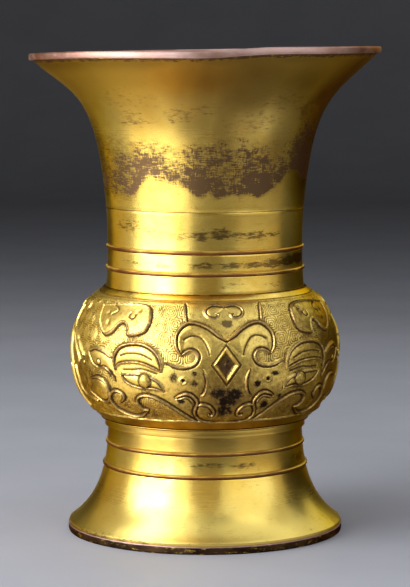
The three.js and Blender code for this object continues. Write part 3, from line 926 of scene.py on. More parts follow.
HORN_LINE = [
    [0.3, 106.7], [3, 109], [6.5, 112.3], [10, 114.5], [13.5, 115.6], [16.5, 115.3], [19.2, 113.2],
    [20.9, 110.3], [21.3, 106.8], [20.6, 103], [18.8, 100],
]
HORN_INNER = [[17.7, 107.5], [16, 108.8], [13.5, 109.4], [11, 108.7], [9, 106], [7.6, 102.6], [7, 100]]
CURL = [
    [18.8, 100], [17.2, 101.3], [15.2, 102.4], [13.2, 102], [12, 100.4], [11.8, 98.4], [12.9, 96],
    [15.2, 94.6], [18.5, 94.1], [21.8, 94.9], [25, 96.4],
]
BAR = [[19.2, 124.5], [18.2, 121], [17, 116.2]]
CLOUD = [
    [0, 122.8], [1.5, 123.3], [4, 123.7], [6.5, 123.4], [8.6, 122], [9, 120], [7.5, 118.2], [5.2, 117.5],
    [3.4, 118], [2.7, 119.2], [3.8, 119.6],
]
LEAF = [
    [66, 121], [60, 121.9], [52, 122.9], [45, 123.3], [40, 122.8], [36.5, 121.5], [34.9, 118.5],
    [34.7, 114.5], [36, 111], [38.5, 109.5], [43.6, 108.7], [44.6, 111.5], [46, 114], [48.5, 114.6],
    [50.3, 113.2], [52, 110.3], [55.5, 108], [58.5, 109], [61.5, 112], [64.3, 116],
]
LEAF_CURL = [[57, 121.9], [54.5, 121.3], [53, 120], [54, 118.6], [56, 117.6]]
LEAF_HOOK = [[45.2, 118.9], [45.6, 117.4], [44, 116.4], [42.6, 117.2], [42.4, 118.4]]
BROW_LINE = [
    [49.7, 91], [50.4, 94.5], [50, 97.8], [47.8, 101.8], [44, 104], [39, 104.7], [35, 104.2], [31.2, 102.4],
    [28.4, 99.4], [27, 95.4], [27, 91.5],
]
BROW_BASE = [[49.7, 91.3], [47.5, 93.6], [44, 94.7], [39.5, 95.1], [35, 94.7], [31, 93.2], [27, 91.6]]
BROW_INNER = [[46.5, 98], [43.5, 99.2], [39, 99.6], [35, 99], [31, 97]]
LID = [[45, 91], [40, 91.4], [35.5, 92], [29, 90.3]]
EYE_TOP = [[46.5, 88.7], [42, 89.2], [37, 89.4], [32, 88.3], [28.5, 86.5], [26.7, 84], [26, 81.5]]
EYE_LOW = [[46.5, 88.7], [45, 86], [42, 83.7], [37, 82.3], [31.5, 82.6], [26, 81.5]]
NOSE = [[9.4, 92.5], [8.4, 89], [8.2, 86], [8.6, 83], [9.6, 80.2], [10.8, 79.2]]
SNOUT = [
    [21.3, 78.6], [19.5, 79.6], [17, 80.4], [15, 79.8], [13.3, 77.8], [12.5, 75.8], [13, 73.5],
    [13.7, 71.5], [13.8, 69.5], [13, 67.6], [11.3, 66.2], [8.5, 65.5], [0, 65.3],
]
SNOUT_LOW = [[21, 77], [19.3, 77.9], [17.2, 78.6], [15.7, 78], [14.5, 76.4], [13.8, 74.6]]
NOSTRIL = [
    [12.4, 74.4], [10.3, 75], [7.8, 74.4], [6.2, 72.9], [5.4, 71.2], [5.8, 69.6], [6.9, 69.2], [7.7, 70],
]
JAW = [
    [35, 71], [37.5, 71.3], [39.3, 73], [39.9, 75], [39, 77], [36.5, 78.3], [33.5, 78.6], [30, 77.8],
    [26, 75.5], [22, 72], [18, 68.4], [15.5, 66.6], [13.2, 65.6],
]
BEARD = [
    [49.5, 73.5], [48, 74.8], [46.8, 76], [46.6, 77.6], [48, 79], [50.3, 79.7], [52.8, 79], [54.5, 77],
    [55.2, 74.8], [54.5, 72.3], [52.8, 69.8], [50, 67.9], [46.5, 66.8], [43, 66.4], [39.8, 67.2], [37, 69],
    [35, 71],
]
CHEEK = [
    [66.5, 84.3], [62, 85.4], [59, 85.2], [56.5, 84], [55, 82], [54.6, 79], [55.2, 75.5], [57.5, 73.2],
    [61, 72.9], [64.5, 74.6], [69, 77.2],
]
EAR = [[66.5, 98.5], [64, 99.9], [61, 100.5], [57, 99.7], [54, 98.3], [51.5, 96.8]]
EAR_LOW = [[66.5, 98.5], [65, 95], [62.5, 91.8], [59, 90.6], [56, 91.3], [53, 89.5], [51, 87], [50, 85]]
FLANK_ARCH = [[90, 110.8], [87.3, 105.7], [81.2, 99.7], [75.5, 93]]
FLANK_LINE = [[90, 112.5], [86.7, 107.5], [79.1, 103], [73, 97], [71.4, 95.6]]
FLANK_LOW = [[82, 88.6], [80.3, 83.4], [79, 77.5], [75, 74], [70.2, 72.9], [65.8, 72.3]]
FLANK_RIDGE = [[90, 118.5], [89.3, 110], [88.8, 100], [88, 92.5], [86.5, 89]]
FLANK_FOOT = [[88.5, 88], [88, 83], [86.5, 77], [83.5, 71.5], [80, 68]]
FLANK_CLOUD = [[90, 122.6], [86.7, 122.7], [83.7, 122], [81.4, 121], [80.2, 119.5], [81.5, 118]]

# Points that close the outlines of some pads
HORN_BAY = [[7, 97], [2, 103]]
CHEEK_BACK = [[66, 80.5]]
EAR_FRONT = [[50.5, 92]]
NOSE_BRIDGE = [[0, 84]]

# Small domes and small hollows: [angle, height, radius]
BUDS = [[77, 91.8, 1.2], [59, 93.8, 1.3], [71.4, 92, 1.2]]
PITS = [
    [58.6, 118, 1.7], [56.4, 113.6, 1.2], [41, 120.1, 1.3], [59.5, 91.6, 1.0], [46, 70.8, 1.2],
    [35.3, 69.2, 1.1], [72, 83, 1.8], [77.5, 103, 1.6],
]

# Lines: half widths, ends, rise, and the grooves beside them in half widths
FLANK_WIDTH = 1.05
THICK_LINE = 0.85
LINE = 0.68
CUT_LINE = 0.55
CUT_STRENGTH = 0.8
BORDER_CUT_STRENGTH = 0.4
TAPER = 0.55
TAPER_SHARE = 0.14
BEAD_ROUND = 0.7
RISE_PER_WIDTH = 1.1
LINE_REACH = 3.0
NO_LINE = 9.0
GROOVE_PLACE = 1.15
GROOVE_SPREAD = 0.62
GROOVE_DEPTH = 0.5
SPLINE_STEPS = 8

# The side of a line that has a groove
LEFT = 1
RIGHT = -1
BOTH = 2
NO_SIDE = 0

# The flanks, where the lines are lower and keep their gilding
FLANK_START = 56.0
FLANK_FULL = 74.0
FLANK_RISE = 0.2
FLANK_GILT = 0.8

# Pads: the step at their edge and the dome within, and the depths over which they rise
PAD_STEP = 0.3
PAD_DOME = 0.4
PAD_REACH = 6.0
PAD_STEP_DEPTHS = (-0.5, 0.7)
PAD_DOME_DEPTHS = (0.0, 4.5)
PAD_COVER_DEPTHS = (-0.6, 0.4)
LEAF_DOME = 0.12
BROW_DOME = 0.25
CLOUD_DOME = 0.2

# Hatched ground and its spirals
GROUND_DEPTH = 0.25
HATCH_CELL = (8.8, 8.0)
HATCH_PERIOD = 1.1
HATCH_ROUND = 5.0
HATCH_RISE = 0.1
HATCH_CLEARANCE = (1.2, 2.0)

# Zones of the hatching. Each has the angles, the lower levels and the upper levels over which it grows,
# and its share in the middle of the mask.
HATCH_ZONES = {
    "upper": ((14.0, 19.0), (92.0, 97.0), (124.5, 123.0), 0.12),
    "outer": ((47.0, 54.0), (67.0, 69.0), (124.5, 123.0), 0.0),
    "jaw": ((23.0, 28.0), (66.0, 67.5), (78.0, 76.0), 0.0),
}

# Small forms: places, sizes, rises and depths, and the dirt in their hollows
BUD_RISE = 0.8
BUD_GROOVE = (1.2, 0.3)
PIT_DEPTH = 0.4
PIT_DIRT = 0.55
LOZENGE_LEVEL = 94.7
LOZENGE_RECESS_DIRT = 0.85
PUPIL_PLACE = (34.5, 86.2)
PUPIL_RADIUS = 3.3
PUPIL_RISE = 2.0
PUPIL_DIRT = 0.33
PUPIL_GROOVE = (0.4, 0.5)
PUPIL_GROOVE_DIRT = 0.8
RING_DOT_PLACE = (18.0, 87.3)
RING_DOT_RADIUS = 1.6
RING_DOT_SPREAD = 0.5
RING_DOT_RISE = 0.6
RING_DOT_PIT = 0.7
RING_DOT_PIT_DEPTH = 0.5
RING_DOT_DIRT = 0.8

# Parts of the brow lozenge. Lines: half angle, half height, spread, rise. Areas: half angle, half
# height, where the edge begins and ends, rise.
LOZENGE_GROOVE = (6.0, 10.0, 0.09, -0.5)
LOZENGE_RIDGE = (4.9, 8.3, 0.11, 0.7)
LOZENGE_RECESS = (4.1, 7.0, 1.05, 0.7, -1.3)
LOZENGE_BOSS = (0.9, 1.7, 1.2, 0.2, 0.7)

# Dirt where the relief lies lower than what is round it, and inside the bulb
DIRT_REACH = 6
DIRT_DEPTH = 0.26
DIRT_SHARE = 0.5
INNER_DIRT = 0.6

# Unevenness of the halves, and where the relief fades out at the bulb's ends
WAVES = 6
WAVE_TURNS = (3, 14)
WAVE_RATES = (0.04, 0.16)
WAVER_ACROSS = 0.28
WAVER_ALONG = 0.22
LOW_FADE = 4.0
TOP_FADE = 3.0

# Marks on the belly: [angle, height, half angle, half height, strength] of soot, grime and rubbed gilding
SOOT_SPOTS = [
    [-3.5, 81, 4, 3.5, 0.9], [3, 80, 4.5, 4, 1.0], [0.5, 77, 5, 3.5, 1.0], [-1.5, 72, 2.4, 4.5, 0.92],
    [1.5, 71, 1.8, 3.5, 0.8], [-22, 89, 1.8, 3.2, 0.8], [-13.3, 90.8, 1.5, 1.5, 0.85],
    [-13.4, 86, 1.6, 1.8, 0.9], [-18, 87.3, 1.0, 1.0, 1.0], [18, 87.3, 1.0, 1.0, 1.0],
    [13.3, 85, 2, 2, 0.95], [21.5, 90, 2, 1.6, 0.85], [-19.5, 76.3, 2.2, 1.8, 0.85],
    [17.5, 74, 2.2, 2.4, 0.95], [24.5, 78, 1.4, 1.8, 0.75], [0, 94.7, 2.6, 5, 0.6],
    [172, 78, 5, 5, 0.7], [186, 72, 4, 4, 0.7],
]
BELLY_GRIME = [
    [2, 84, 20, 18, 0.62], [-40, 70, 30, 6, 0.3], [36, 104, 24, 26, 0.5], [34, 78, 26, 16, 0.45],
    [-36, 112, 34, 14, 0.46], [60, 98, 15, 34, 0.9], [-70, 84, 14, 15, 0.6], [150, 90, 40, 30, 0.5],
    [-150, 85, 40, 30, 0.5],
]
BELLY_WEAR = [
    [0.6, 115, 3, 2.6, 0.95], [-52, 88.5, 3.4, 3, 0.78], [-46, 73, 3, 3, 0.62], [-67, 87, 3, 2.5, 0.6],
    [-60, 118, 4, 2, 0.5], [54, 90, 4, 4, 0.7], [6, 119, 3, 2, 0.5], [41, 119.5, 5, 3, 0.68],
    [53, 116, 4, 3, 0.55], [30, 70, 8, 3, 0.5], [-33, 69, 5, 2, 0.6], [140, 110, 8, 6, 0.6],
    [-150, 88, 7, 6, 0.6],
]


def spline(points, closed=False):
    """A smooth path through points."""
    knots = np.array(points, dtype=float)
    if closed:
        padded = np.concatenate([knots[-1:], knots, knots[:2]])
    else:
        padded = np.concatenate([2 * knots[:1] - knots[1:2], knots, 2 * knots[-1:] - knots[-2:-1]])
    path = []
    for index in range(1, len(padded) - 2):
        before, start, end, after = padded[index - 1:index + 3]
        for t in np.linspace(0.0, 1.0, SPLINE_STEPS, endpoint=False):
            path.append(0.5 * (
                2 * start
                + (end - before) * t
                + (2 * before - 5 * start + 4 * end - after) * t**2
                + (3 * start - before - 3 * end + after) * t**3
            ))
    path.append(padded[-2])
    return np.array(path)


def hump(distance, spread):
    """1 at no distance, dying out smoothly over the spread."""
    return np.exp(-((distance / spread) ** 2))


class Quarter:
    """A height field over a quarter turn of the belly, from the middle of a mask to the flank."""

    def __init__(self, lengths, heights):
        self.lengths = lengths
        self.heights = heights
        self.per_degree = math.radians(1.0) * bulb_radius
        angles = np.linspace(0.0, QUARTER_TURN, QUARTER_COLUMNS + 1)
        self.x = angles * self.per_degree
        self.angle = angles[None, :]
        self.level = heights[:, None]
        shape = (len(heights), len(angles))
        self.pad = np.zeros(shape)
        self.inside = np.zeros(shape)
        self.thread = np.full(shape, NO_LINE)
        self.rise = np.zeros(shape)
        self.crest = np.zeros(shape)
        self.groove = np.zeros(shape)

    def flat(self, path):
        """Degrees and heights as lengths over the skin."""
        along = np.interp(path[:, 1], self.heights, self.lengths)
        return np.stack([path[:, 0] * self.per_degree, along], axis=1)

    def nearest(self, path, widths, limit):
        """Distance to a path in half widths, up to a limit, and the side: 1 left of it, -1 right."""
        found = np.full(self.thread.shape, limit)
        side = np.zeros(self.thread.shape)
        for start, end, width in zip(path[:-1], path[1:], widths):
            reach = limit * width
            low = np.minimum(start, end) - reach
            high = np.maximum(start, end) + reach
            columns = slice(*np.searchsorted(self.x, [low[0], high[0]]))
            rows = slice(*np.searchsorted(self.lengths, [low[1], high[1]]))
            dx = self.x[columns][None, :] - start[0]
            dy = self.lengths[rows][:, None] - start[1]
            step = end - start
            length = step @ step + TINY
            share = np.clip((dx * step[0] + dy * step[1]) / length, 0.0, 1.0)
            distance = np.hypot(dx - share * step[0], dy - share * step[1]) / width
            closer = distance < found[rows, columns]
            found[rows, columns] = np.where(closer, distance, found[rows, columns])
            here = np.sign(step[0] * dy - step[1] * dx)
            side[rows, columns] = np.where(closer, here, side[rows, columns])
        return found, side

    def route(self, points, straight):
        return self.flat(np.array(points, dtype=float) if straight else spline(points))

    def draw(self, points, groove_side, width=LINE, taper=TAPER, straight=False):
        """A raised thread along points, thinner towards its ends, with a groove on the side named."""
        path = self.route(points, straight)
        share = np.linspace(0.0, 1.0, len(path) - 1)
        ends = np.minimum(share, 1.0 - share)
        widths = width * (taper + (1.0 - taper) * smooth_step(0.0, TAPER_SHARE, ends))
        distance, side = self.nearest(path, widths, LINE_REACH)
        bead = np.clip(1.0 - distance**2, 0.0, 1.0) ** BEAD_ROUND
        groove = hump(distance - GROOVE_PLACE, GROOVE_SPREAD)
        if groove_side != BOTH:
            groove = groove * (side * groove_side > 0)
        self.thread = np.minimum(self.thread, distance)
        self.crest = np.maximum(self.crest, bead)
        self.rise = np.maximum(self.rise, bead * width * RISE_PER_WIDTH)
        self.groove = np.maximum(self.groove, groove)

    def incise(self, points, strength=CUT_STRENGTH, straight=False):
        """A cut line along points."""
        path = self.route(points, straight)
        distance = self.nearest(path, np.full(len(path) - 1, CUT_LINE), LINE_REACH)[0]
        self.groove = np.maximum(self.groove, strength * hump(distance, 1.0))

    def raise_pad(self, *stretches, step=PAD_STEP, dome=PAD_DOME):
        """A raised form inside the closed outline that the stretches make."""
        path = self.flat(np.concatenate(stretches))
        closed = np.concatenate([path, path[:1]])
        distance = self.nearest(closed, np.ones(len(path)), PAD_REACH)[0]
        inside = np.zeros(distance.shape, dtype=bool)
        for start, end in zip(closed[:-1], closed[1:]):
            if start[1] == end[1]:
                continue
            crosses = (start[1] > self.lengths) != (end[1] > self.lengths)
            meet = start[0] + (self.lengths - start[1]) / (end[1] - start[1]) * (end[0] - start[0])
            inside ^= crosses[:, None] & (self.x[None, :] < meet[:, None])
        depth = np.where(inside, distance, -distance)
        rise = step * smooth_step(*PAD_STEP_DEPTHS, depth) + dome * smooth_step(*PAD_DOME_DEPTHS, depth)
        self.pad = np.maximum(self.pad, rise)
        self.inside = np.maximum(self.inside, smooth_step(*PAD_COVER_DEPTHS, depth))

    def away_from(self, place):
        """Distance over the skin from a place."""
        spot = self.flat(np.array([place], dtype=float))[0]
        return np.hypot(self.x[None, :] - spot[0], self.lengths[:, None] - spot[1])


def draw_mask(field):
    """Half a mask: its threads, its cut lines, the border lines and the pads."""
    threads = [
        (RIGHT, THICK_LINE, (HORN_LINE, CURL)),
        (LEFT, THICK_LINE, (BROW_LINE, EAR)),
        (LEFT, FLANK_WIDTH, (FLANK_RIDGE, FLANK_FOOT, FLANK_ARCH, FLANK_LINE, FLANK_LOW)),
        (BOTH, THICK_LINE, (NOSTRIL, BEARD, SNOUT, JAW, CHEEK)),
        (RIGHT, LINE, (BAR, CLOUD, BROW_BASE, EYE_LOW, EAR_LOW, LEAF + LEAF[:1])),
        (LEFT, LINE, (NOSE, SNOUT_LOW, EYE_TOP, FLANK_CLOUD)),
    ]
    for groove_side, width, lines in threads:
        for line in lines:
            field.draw(line, groove_side, width)
    for line in (HORN_INNER, BROW_INNER, LID, LEAF_CURL, LEAF_HOOK):
        field.incise(line)
    lower, upper = ([[0, level], [QUARTER_TURN, level]] for level in (LOWER_BORDER, UPPER_BORDER))
    field.draw(lower, NO_SIDE, taper=1.0, straight=True)
    field.incise(upper, BORDER_CUT_STRENGTH, straight=True)
    field.raise_pad(spline(HORN_LINE), spline(HORN_INNER))
    # A pad without a rise, which only keeps the hatched ground out
    field.raise_pad(spline(HORN_LINE), spline(CURL[:9]), HORN_BAY, step=0.0, dome=0.0)
    field.raise_pad(spline(LEAF, closed=True), dome=LEAF_DOME)
    field.raise_pad(spline(BROW_LINE), spline(BROW_BASE)[::-1], dome=BROW_DOME)
    field.raise_pad(spline(EYE_TOP), spline(EYE_LOW)[::-1])
    field.raise_pad(spline(CHEEK), CHEEK_BACK)
    field.raise_pad(spline(EAR), EAR_FRONT, spline(EAR_LOW)[::-1])
    field.raise_pad(spline(CLOUD, closed=True), dome=CLOUD_DOME)
    field.raise_pad(NOSE_BRIDGE, spline(NOSE[3:5] + SNOUT[5:]))


def hatching(field):
    """Rounded spirals in rows, as waves between -1 and 1."""
    row = field.lengths[:, None] / HATCH_CELL[1]
    column = field.x[None, :] / HATCH_CELL[0] + 0.5 * np.floor(row)
    across = (column % 1.0 - 0.5) * HATCH_CELL[0]
    along = (row % 1.0 - 0.5) * HATCH_CELL[1]
    nested = (np.abs(across) ** HATCH_ROUND + np.abs(along) ** HATCH_ROUND) ** (1.0 / HATCH_ROUND)
    return np.sin(2 * math.pi * nested / HATCH_PERIOD + np.arctan2(along, across))


def hatched_ground(field):
    """How far each place is open ground that carries the hatching."""
    open_ground = (1.0 - field.inside) * smooth_step(*HATCH_CLEARANCE, field.thread)
    hatched = np.zeros(open_ground.shape)
    for angles, lower, upper, middle_share in HATCH_ZONES.values():
        across = middle_share + (1.0 - middle_share) * smooth_step(*angles, field.angle)
        along = smooth_step(*lower, field.level) * smooth_step(*upper, field.level)
        hatched = np.maximum(hatched, across * along)
    return open_ground * hatched


def blurred(values, reach):
    """A running mean over a square of cells, taken twice."""
    for axis in (0, 0, 1, 1):
        margin = [(0, 0), (0, 0)]
        margin[axis] = (reach + 1, reach)
        sums = np.cumsum(np.pad(values, margin, mode="edge"), axis=axis)
        size = values.shape[axis]
        ahead = np.take(sums, np.arange(size) + 2 * reach + 1, axis=axis)
        behind = np.take(sums, np.arange(size), axis=axis)
        values = (ahead - behind) / (2 * reach + 1)
    return values


def add_lozenge(field, height, hollow):
    """The brow lozenge: a groove, a ridge and a sunk middle with a boss."""
    def reach(half_angle, half_height):
        return field.angle / half_angle + np.abs(field.level - LOZENGE_LEVEL) / half_height

    parts = []
    for *halves, spread, rise in (LOZENGE_RIDGE, LOZENGE_GROOVE):
        parts.append(hump(reach(*halves) - 1.0, spread))
        height = height + rise * parts[-1]
    for *halves, start, end, rise in (LOZENGE_RECESS, LOZENGE_BOSS):
        parts.append(smooth_step(start, end, reach(*halves)))
        height = height + rise * parts[-1]
    groove, recess = parts[1:3]
    return height, np.maximum(hollow, np.maximum(groove, LOZENGE_RECESS_DIRT * recess))


def domed(away):
    """A half ball over a disc of radius 1."""
    return np.sqrt(np.clip(1.0 - away**2, 0.0, 1.0))


def quarter_heights(field):
    """The height field, and how far each place is thread, hollow and hatching."""
    flank = smooth_step(FLANK_START, FLANK_FULL, field.angle)
    crest = field.crest * (1.0 - FLANK_GILT * flank)
    hollow = field.groove * (1.0 - field.crest)
    ground = hatched_ground(field)
    hatch = hatching(field) * ground
    height = field.pad + field.rise * (1.0 - FLANK_RISE * flank) - GROOVE_DEPTH * hollow
    height = height - GROUND_DEPTH * ground + HATCH_RISE * hatch
    height, hollow = add_lozenge(field, height, hollow)
    eye = field.away_from(PUPIL_PLACE)
    on_ball = eye < PUPIL_RADIUS
    height = np.where(on_ball, PUPIL_RISE * domed(eye / PUPIL_RADIUS) + PAD_STEP, height)
    crest = np.where(on_ball, 0.0, crest)
    hollow = np.where(on_ball, PUPIL_DIRT, hollow)
    gap, spread = PUPIL_GROOVE
    hollow = np.maximum(hollow, PUPIL_GROOVE_DIRT * hump(eye - PUPIL_RADIUS - gap, spread))
    dot = field.away_from(RING_DOT_PLACE)
    height = height + RING_DOT_RISE * hump(dot - RING_DOT_RADIUS, RING_DOT_SPREAD)
    height = height - RING_DOT_PIT_DEPTH * hump(dot, RING_DOT_PIT)
    hollow = np.maximum(hollow, hump(dot, RING_DOT_DIRT))
    place, spread = BUD_GROOVE
    for *middle, radius in BUDS:
        away = field.away_from(middle) / radius
        height = height + BUD_RISE * domed(away)
        hollow = np.maximum(hollow, hump(away - place, spread))
    for *middle, radius in PITS:
        dip = hump(field.away_from(middle), radius)
        height = height - PIT_DEPTH * dip
        hollow = np.maximum(hollow, PIT_DIRT * dip)
    dirt = np.clip((blurred(height, DIRT_REACH) - height) / DIRT_DEPTH, 0.0, 1.0)
    return height, crest, np.maximum(hollow, DIRT_SHARE * dirt), hatch


def waver(angles, lengths, size):
    """A small smooth unevenness, so that no two halves are the same."""
    total = np.zeros((len(lengths), len(angles)))
    for _ in range(WAVES):
        turns = rng.integers(*WAVE_TURNS)
        rate = rng.uniform(*WAVE_RATES)
        phase = rng.uniform(0.0, 2 * math.pi)
        lean = np.radians(angles)[None, :] * turns + lengths[:, None] * rate * rng.choice([-1.0, 1.0])
        total += np.sin(lean + phase)
    return total * size / math.sqrt(WAVES)


def bulb_skin():
    """Even lengths along the belly's outline, and the outline's points there."""
    steps = np.linalg.norm(np.diff(bulb_outside, axis=0), axis=1)
    outline_lengths = np.concatenate([[0.0], np.cumsum(steps)])
    rows = int(outline_lengths[-1] / BULB_ROW_STEP) + 1
    lengths = np.linspace(0.0, outline_lengths[-1], rows)
    skin = [np.interp(lengths, outline_lengths, bulb_outside[:, axis]) for axis in (0, 1)]
    return lengths, np.stack(skin, axis=1)


def all_round(maps, angles, lengths, fade):
    """The maps of a quarter, mirrored and repeated round the belly with a slight waver."""
    across = angles[None, :] + waver(angles, lengths, WAVER_ACROSS) * fade
    along = lengths[:, None] + waver(angles, lengths, WAVER_ALONG) * fade
    folded = QUARTER_TURN - np.abs(QUARTER_TURN - np.abs(wrapped(across)))
    column = np.clip(folded / QUARTER_TURN * QUARTER_COLUMNS, 0.0, QUARTER_COLUMNS - HAIR)
    row = np.clip(along / lengths[1], 0.0, len(lengths) - 1 - HAIR)
    left = column.astype(int)
    low = row.astype(int)
    right_share = column - left
    high_share = row - low
    sampled = []
    for values in maps:
        lower = values[low, left] * (1 - right_share) + values[low, left + 1] * right_share
        upper = values[low + 1, left] * (1 - right_share) + values[low + 1, left + 1] * right_share
        sampled.append(lower * (1 - high_share) + upper * high_share)
    return sampled


def bulb():
    lengths, skin = bulb_skin()
    field = Quarter(lengths, skin[:, 1])
    draw_mask(field)
    angles = ring_angles(BULB_COLUMNS)
    top_fade = smooth_step(lengths[-1], lengths[-1] - TOP_FADE, lengths)
    fade = (smooth_step(0.0, LOW_FADE, lengths) * top_fade)[:, None]
    height, crest, hollow, hatch = all_round(quarter_heights(field), angles, lengths, fade)
    height = height * fade
    normal = normals(skin)
    outer = on_rings(angles, skin[:, :1] + normal[:, :1] * height, skin[:, 1:] + normal[:, 1:] * height)
    back = np.concatenate([
        [[bulb_top_bore, bulb_top], [bulb_top_bore, bulb_top - WALL]],
        between(bulb_inside, bulb_base + WALL, bulb_top - WALL)[::-INNER_ROW_SKIP],
        [[bulb_low_bore, bulb_base + WALL], [bulb_low_bore, bulb_base]],
    ])
    inner = ring_points(back, BULB_COLUMNS)
    marks = {"crest": crest, "hollow": hollow, "hatch": hatch}
    for name, patches in (("soot", SOOT_SPOTS), ("grime_and_low_darkening", BELLY_GRIME), ("wear", BELLY_WEAR)):
        marks[name] = patch_field(angles[None, :], field.level, patches)
    for name, outer_marks in marks.items():
        inner_mark = INNER_DIRT if name == "hollow" else 0.0
        marks[name] = np.concatenate([outer_marks.ravel(), np.full(len(inner), inner_mark)])
    faces = grid_faces(len(skin) + len(back), BULB_COLUMNS)
    piece = make_mesh("bulb_relief", np.concatenate([outer, inner]), faces, marks)
    finish_piece(piece, "bulb", relief)


bulb()


# Floor, light and camera

FLOOR_RINGS = (1800.0, 1000.0, 300.0)
FLOOR_RADIUS = 2600.0
FLOOR_SWEEP = 1200.0
FLOOR_SIDES = 96
FLOOR_BEND_POINTS = 13
FLOOR_COLOUR = (0.31, 0.289, 0.266, 1.0)
FLOOR_CLOUD = (0.29, 0.271, 0.25, 1.0)
WORLD_COLOUR = (0.02, 0.0205, 0.0215, 1.0)

# Tints of the lamps: cool daylight, none, and warm lamplight
COOL = (0.9, 1.0, 1.24)
EVEN = (1.0, 1.0, 1.0)
WARM = (1.0, 0.85, 0.6)

# Upright soft boxes: from and to, in degrees round the axis from the camera, low and high edge and
# distance in metres, radiance, tint
SOFT_BOXES = {
    "key_low": (-90, -16, 0.03, 0.2, 0.8, 2, COOL),
    "key_low_core": (-78, -34, 0.03, 0.2, 0.79, 4.2, COOL),
    "key_high": (-90, -16, 0.2, 0.62, 0.8, 2, COOL),
    "key_high_core": (-78, -38, 0.2, 0.62, 0.79, 8.5, COOL),
    "key_high_edge": (-86, -78, 0.2, 0.62, 0.79, 3.4, COOL),
    "key_top": (-84, -16, 0.62, 1.25, 0.8, 2.6, COOL),
    "key_top_core": (-74, -42, 0.62, 1.1, 0.79, 2.5, COOL),
    "side_left": (-136, -92, 0.03, 0.8, 0.8, 0.5, WARM),
    "front_low": (-14, 18, 0.03, 0.2, 0.95, 0.1, WARM),
    "front_high": (-14, 18, 0.2, 1.25, 0.95, 0.42, WARM),
    "fill_low": (36, 95, 0.03, 0.15, 0.85, 0.46, WARM),
    "fill_high": (20, 80, 0.15, 1.25, 0.85, 1.5, COOL),
    "fill_far": (80, 96, 0.15, 1.25, 0.85, 0.6, EVEN),
    "rim_right": (124, 160, 0.25, 0.6, 0.9, 1.1, COOL),
    "rim_right_top": (98, 165, 0.6, 1.25, 0.9, 0.9, COOL),
    "rim_left": (-150, -112, 0.35, 0.95, 0.9, 0.2, EVEN),
}
# Soft boxes overhead: from and to across the camera's view, depth, height, radiance, tint
TOP_BOXES = {
    "top_left": (-0.95, -0.4, 1, 1.2, 1.8, COOL),
    "top_left_core": (-0.85, -0.45, 0.7, 1.19, 4.2, COOL),
    "top_middle": (-0.4, -0.14, 1.4, 1.2, 1.5, COOL),
    "top_centre": (-0.14, 0.14, 1.9, 1.2, 0.45, COOL),
    "top_right": (0.14, 1, 1.2, 1.2, 1, COOL),
}
# Bounce cards that lie on the floor: direction from the camera, distance, width, length, radiance, tint
BOUNCE_CARDS = {
    "card_far": (-45, 0.72, 0.74, 0.3, 1.25, EVEN),
    "card_middle": (-49, 0.45, 0.57, 0.24, 1.1, EVEN),
    "card_near": (-64, 0.21, 0.32, 0.24, 0.6, WARM),
    "card_right": (54, 0.34, 0.28, 0.2, 0.85, COOL),
}
CARD_HEIGHT = 0.004

# The upright boxes fade out sideways, so that their planes leave no edge on the floor. That makes
# them brighter straight ahead by the gain.
BOX_SPREAD = math.radians(168.0)
BOX_GAIN = math.tan(BOX_SPREAD / 2) / (math.tan(BOX_SPREAD / 2) - BOX_SPREAD / 2)


def floor():
    """A round floor that sweeps up into its own backdrop."""
    look = Look("pale_floor")
    cloud = look.noise(90.0, detail=3.0)
    colour = look.blend(look.ramp(cloud, *NOISE_RANGE), FLOOR_COLOUR, FLOOR_CLOUD)
    normal = look.bump(look.noise(1.5, detail=3.0), 0.02)
    bend = np.linspace(math.pi / 2, 0.0, FLOOR_BEND_POINTS)
    radii = FLOOR_RADIUS + FLOOR_SWEEP * np.sin(bend)
    heights = FLOOR_SWEEP * (1.0 - np.cos(bend))
    section = np.concatenate([np.stack([radii, heights], axis=1), [[ring, 0.0] for ring in FLOOR_RINGS]])
    points = ring_points(section, FLOOR_SIDES)
    middle = list(range(len(points) - FLOOR_SIDES, len(points)))
    faces = grid_faces(len(section), FLOOR_SIDES, closed=False) + [middle]
    ground = make_mesh("floor", points, faces, {})
    ground.data.materials.append(look.finish(colour, ROUGH_FLOOR, normal, metallic=0.0))


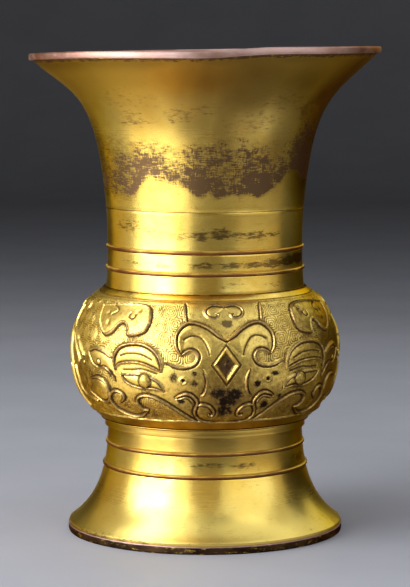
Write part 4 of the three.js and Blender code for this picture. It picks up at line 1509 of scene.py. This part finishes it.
def lamp_panel(name, place, tilt, turn, width, length, radiance, tint):
    """A soft box: an area light that the camera doesn't see."""
    lamp = bpy.data.lights.new(name, "AREA")
    lamp.shape = "RECTANGLE"
    lamp.size = width
    lamp.size_y = length
    lamp.energy = radiance * width * length * math.pi
    lamp.color = tint
    holder = bpy.data.objects.new(name, lamp)
    bpy.context.scene.collection.objects.link(holder)
    holder.location = place
    holder.rotation_euler = (tilt, 0.0, turn)
    holder.visible_camera = False
    return lamp


def round_axis(direction, distance, height):
    """A place by its direction round the axis from the camera, and the turn that faces the axis."""
    turn = math.radians(direction + CAMERA_TURN)
    return (distance * math.sin(turn), -distance * math.cos(turn), height), turn


def upright_box(name, start, end, low, high, distance, radiance, tint):
    """A soft box that stands round the axis and faces it."""
    place, turn = round_axis((start + end) / 2, distance, (low + high) / 2)
    width = 2 * distance * math.tan(math.radians(end - start) / 2)
    lamp = lamp_panel(name, place, math.pi / 2, turn, width, high - low, radiance / BOX_GAIN, tint)
    lamp.spread = BOX_SPREAD


def top_box(name, start, end, depth, height, radiance, tint):
    """A soft box overhead that faces down."""
    turn = math.radians(CAMERA_TURN)
    middle = (start + end) / 2
    place = (middle * math.cos(turn), middle * math.sin(turn), height)
    lamp_panel(name, place, 0.0, turn, end - start, depth, radiance, tint)


def bounce_card(name, direction, distance, width, length, radiance, tint):
    """A card on the floor that throws light up."""
    place, turn = round_axis(direction, distance, CARD_HEIGHT)
    lamp_panel(name, place, math.pi, turn, width, length, radiance, tint)


def studio():
    world = bpy.data.worlds.new("studio")
    world.use_nodes = True
    world.node_tree.nodes["Background"].inputs["Color"].default_value = WORLD_COLOUR
    bpy.context.scene.world = world
    for name, settings in SOFT_BOXES.items():
        upright_box(name, *settings)
    for name, settings in TOP_BOXES.items():
        top_box(name, *settings)
    for name, settings in BOUNCE_CARDS.items():
        bounce_card(name, *settings)
    camera = bpy.data.objects.new("photo_camera", bpy.data.cameras.new("photo_camera"))
    camera.data.lens = CAMERA_LENS
    camera.location, turn = round_axis(0.0, CAMERA_DISTANCE, CAMERA_HEIGHT)
    camera.rotation_euler = (math.radians(90.0 + CAMERA_PITCH), 0.0, turn)
    bpy.context.scene.collection.objects.link(camera)
    bpy.context.scene.camera = camera
    bpy.context.scene.view_settings.view_transform = "Standard"


floor()
studio()
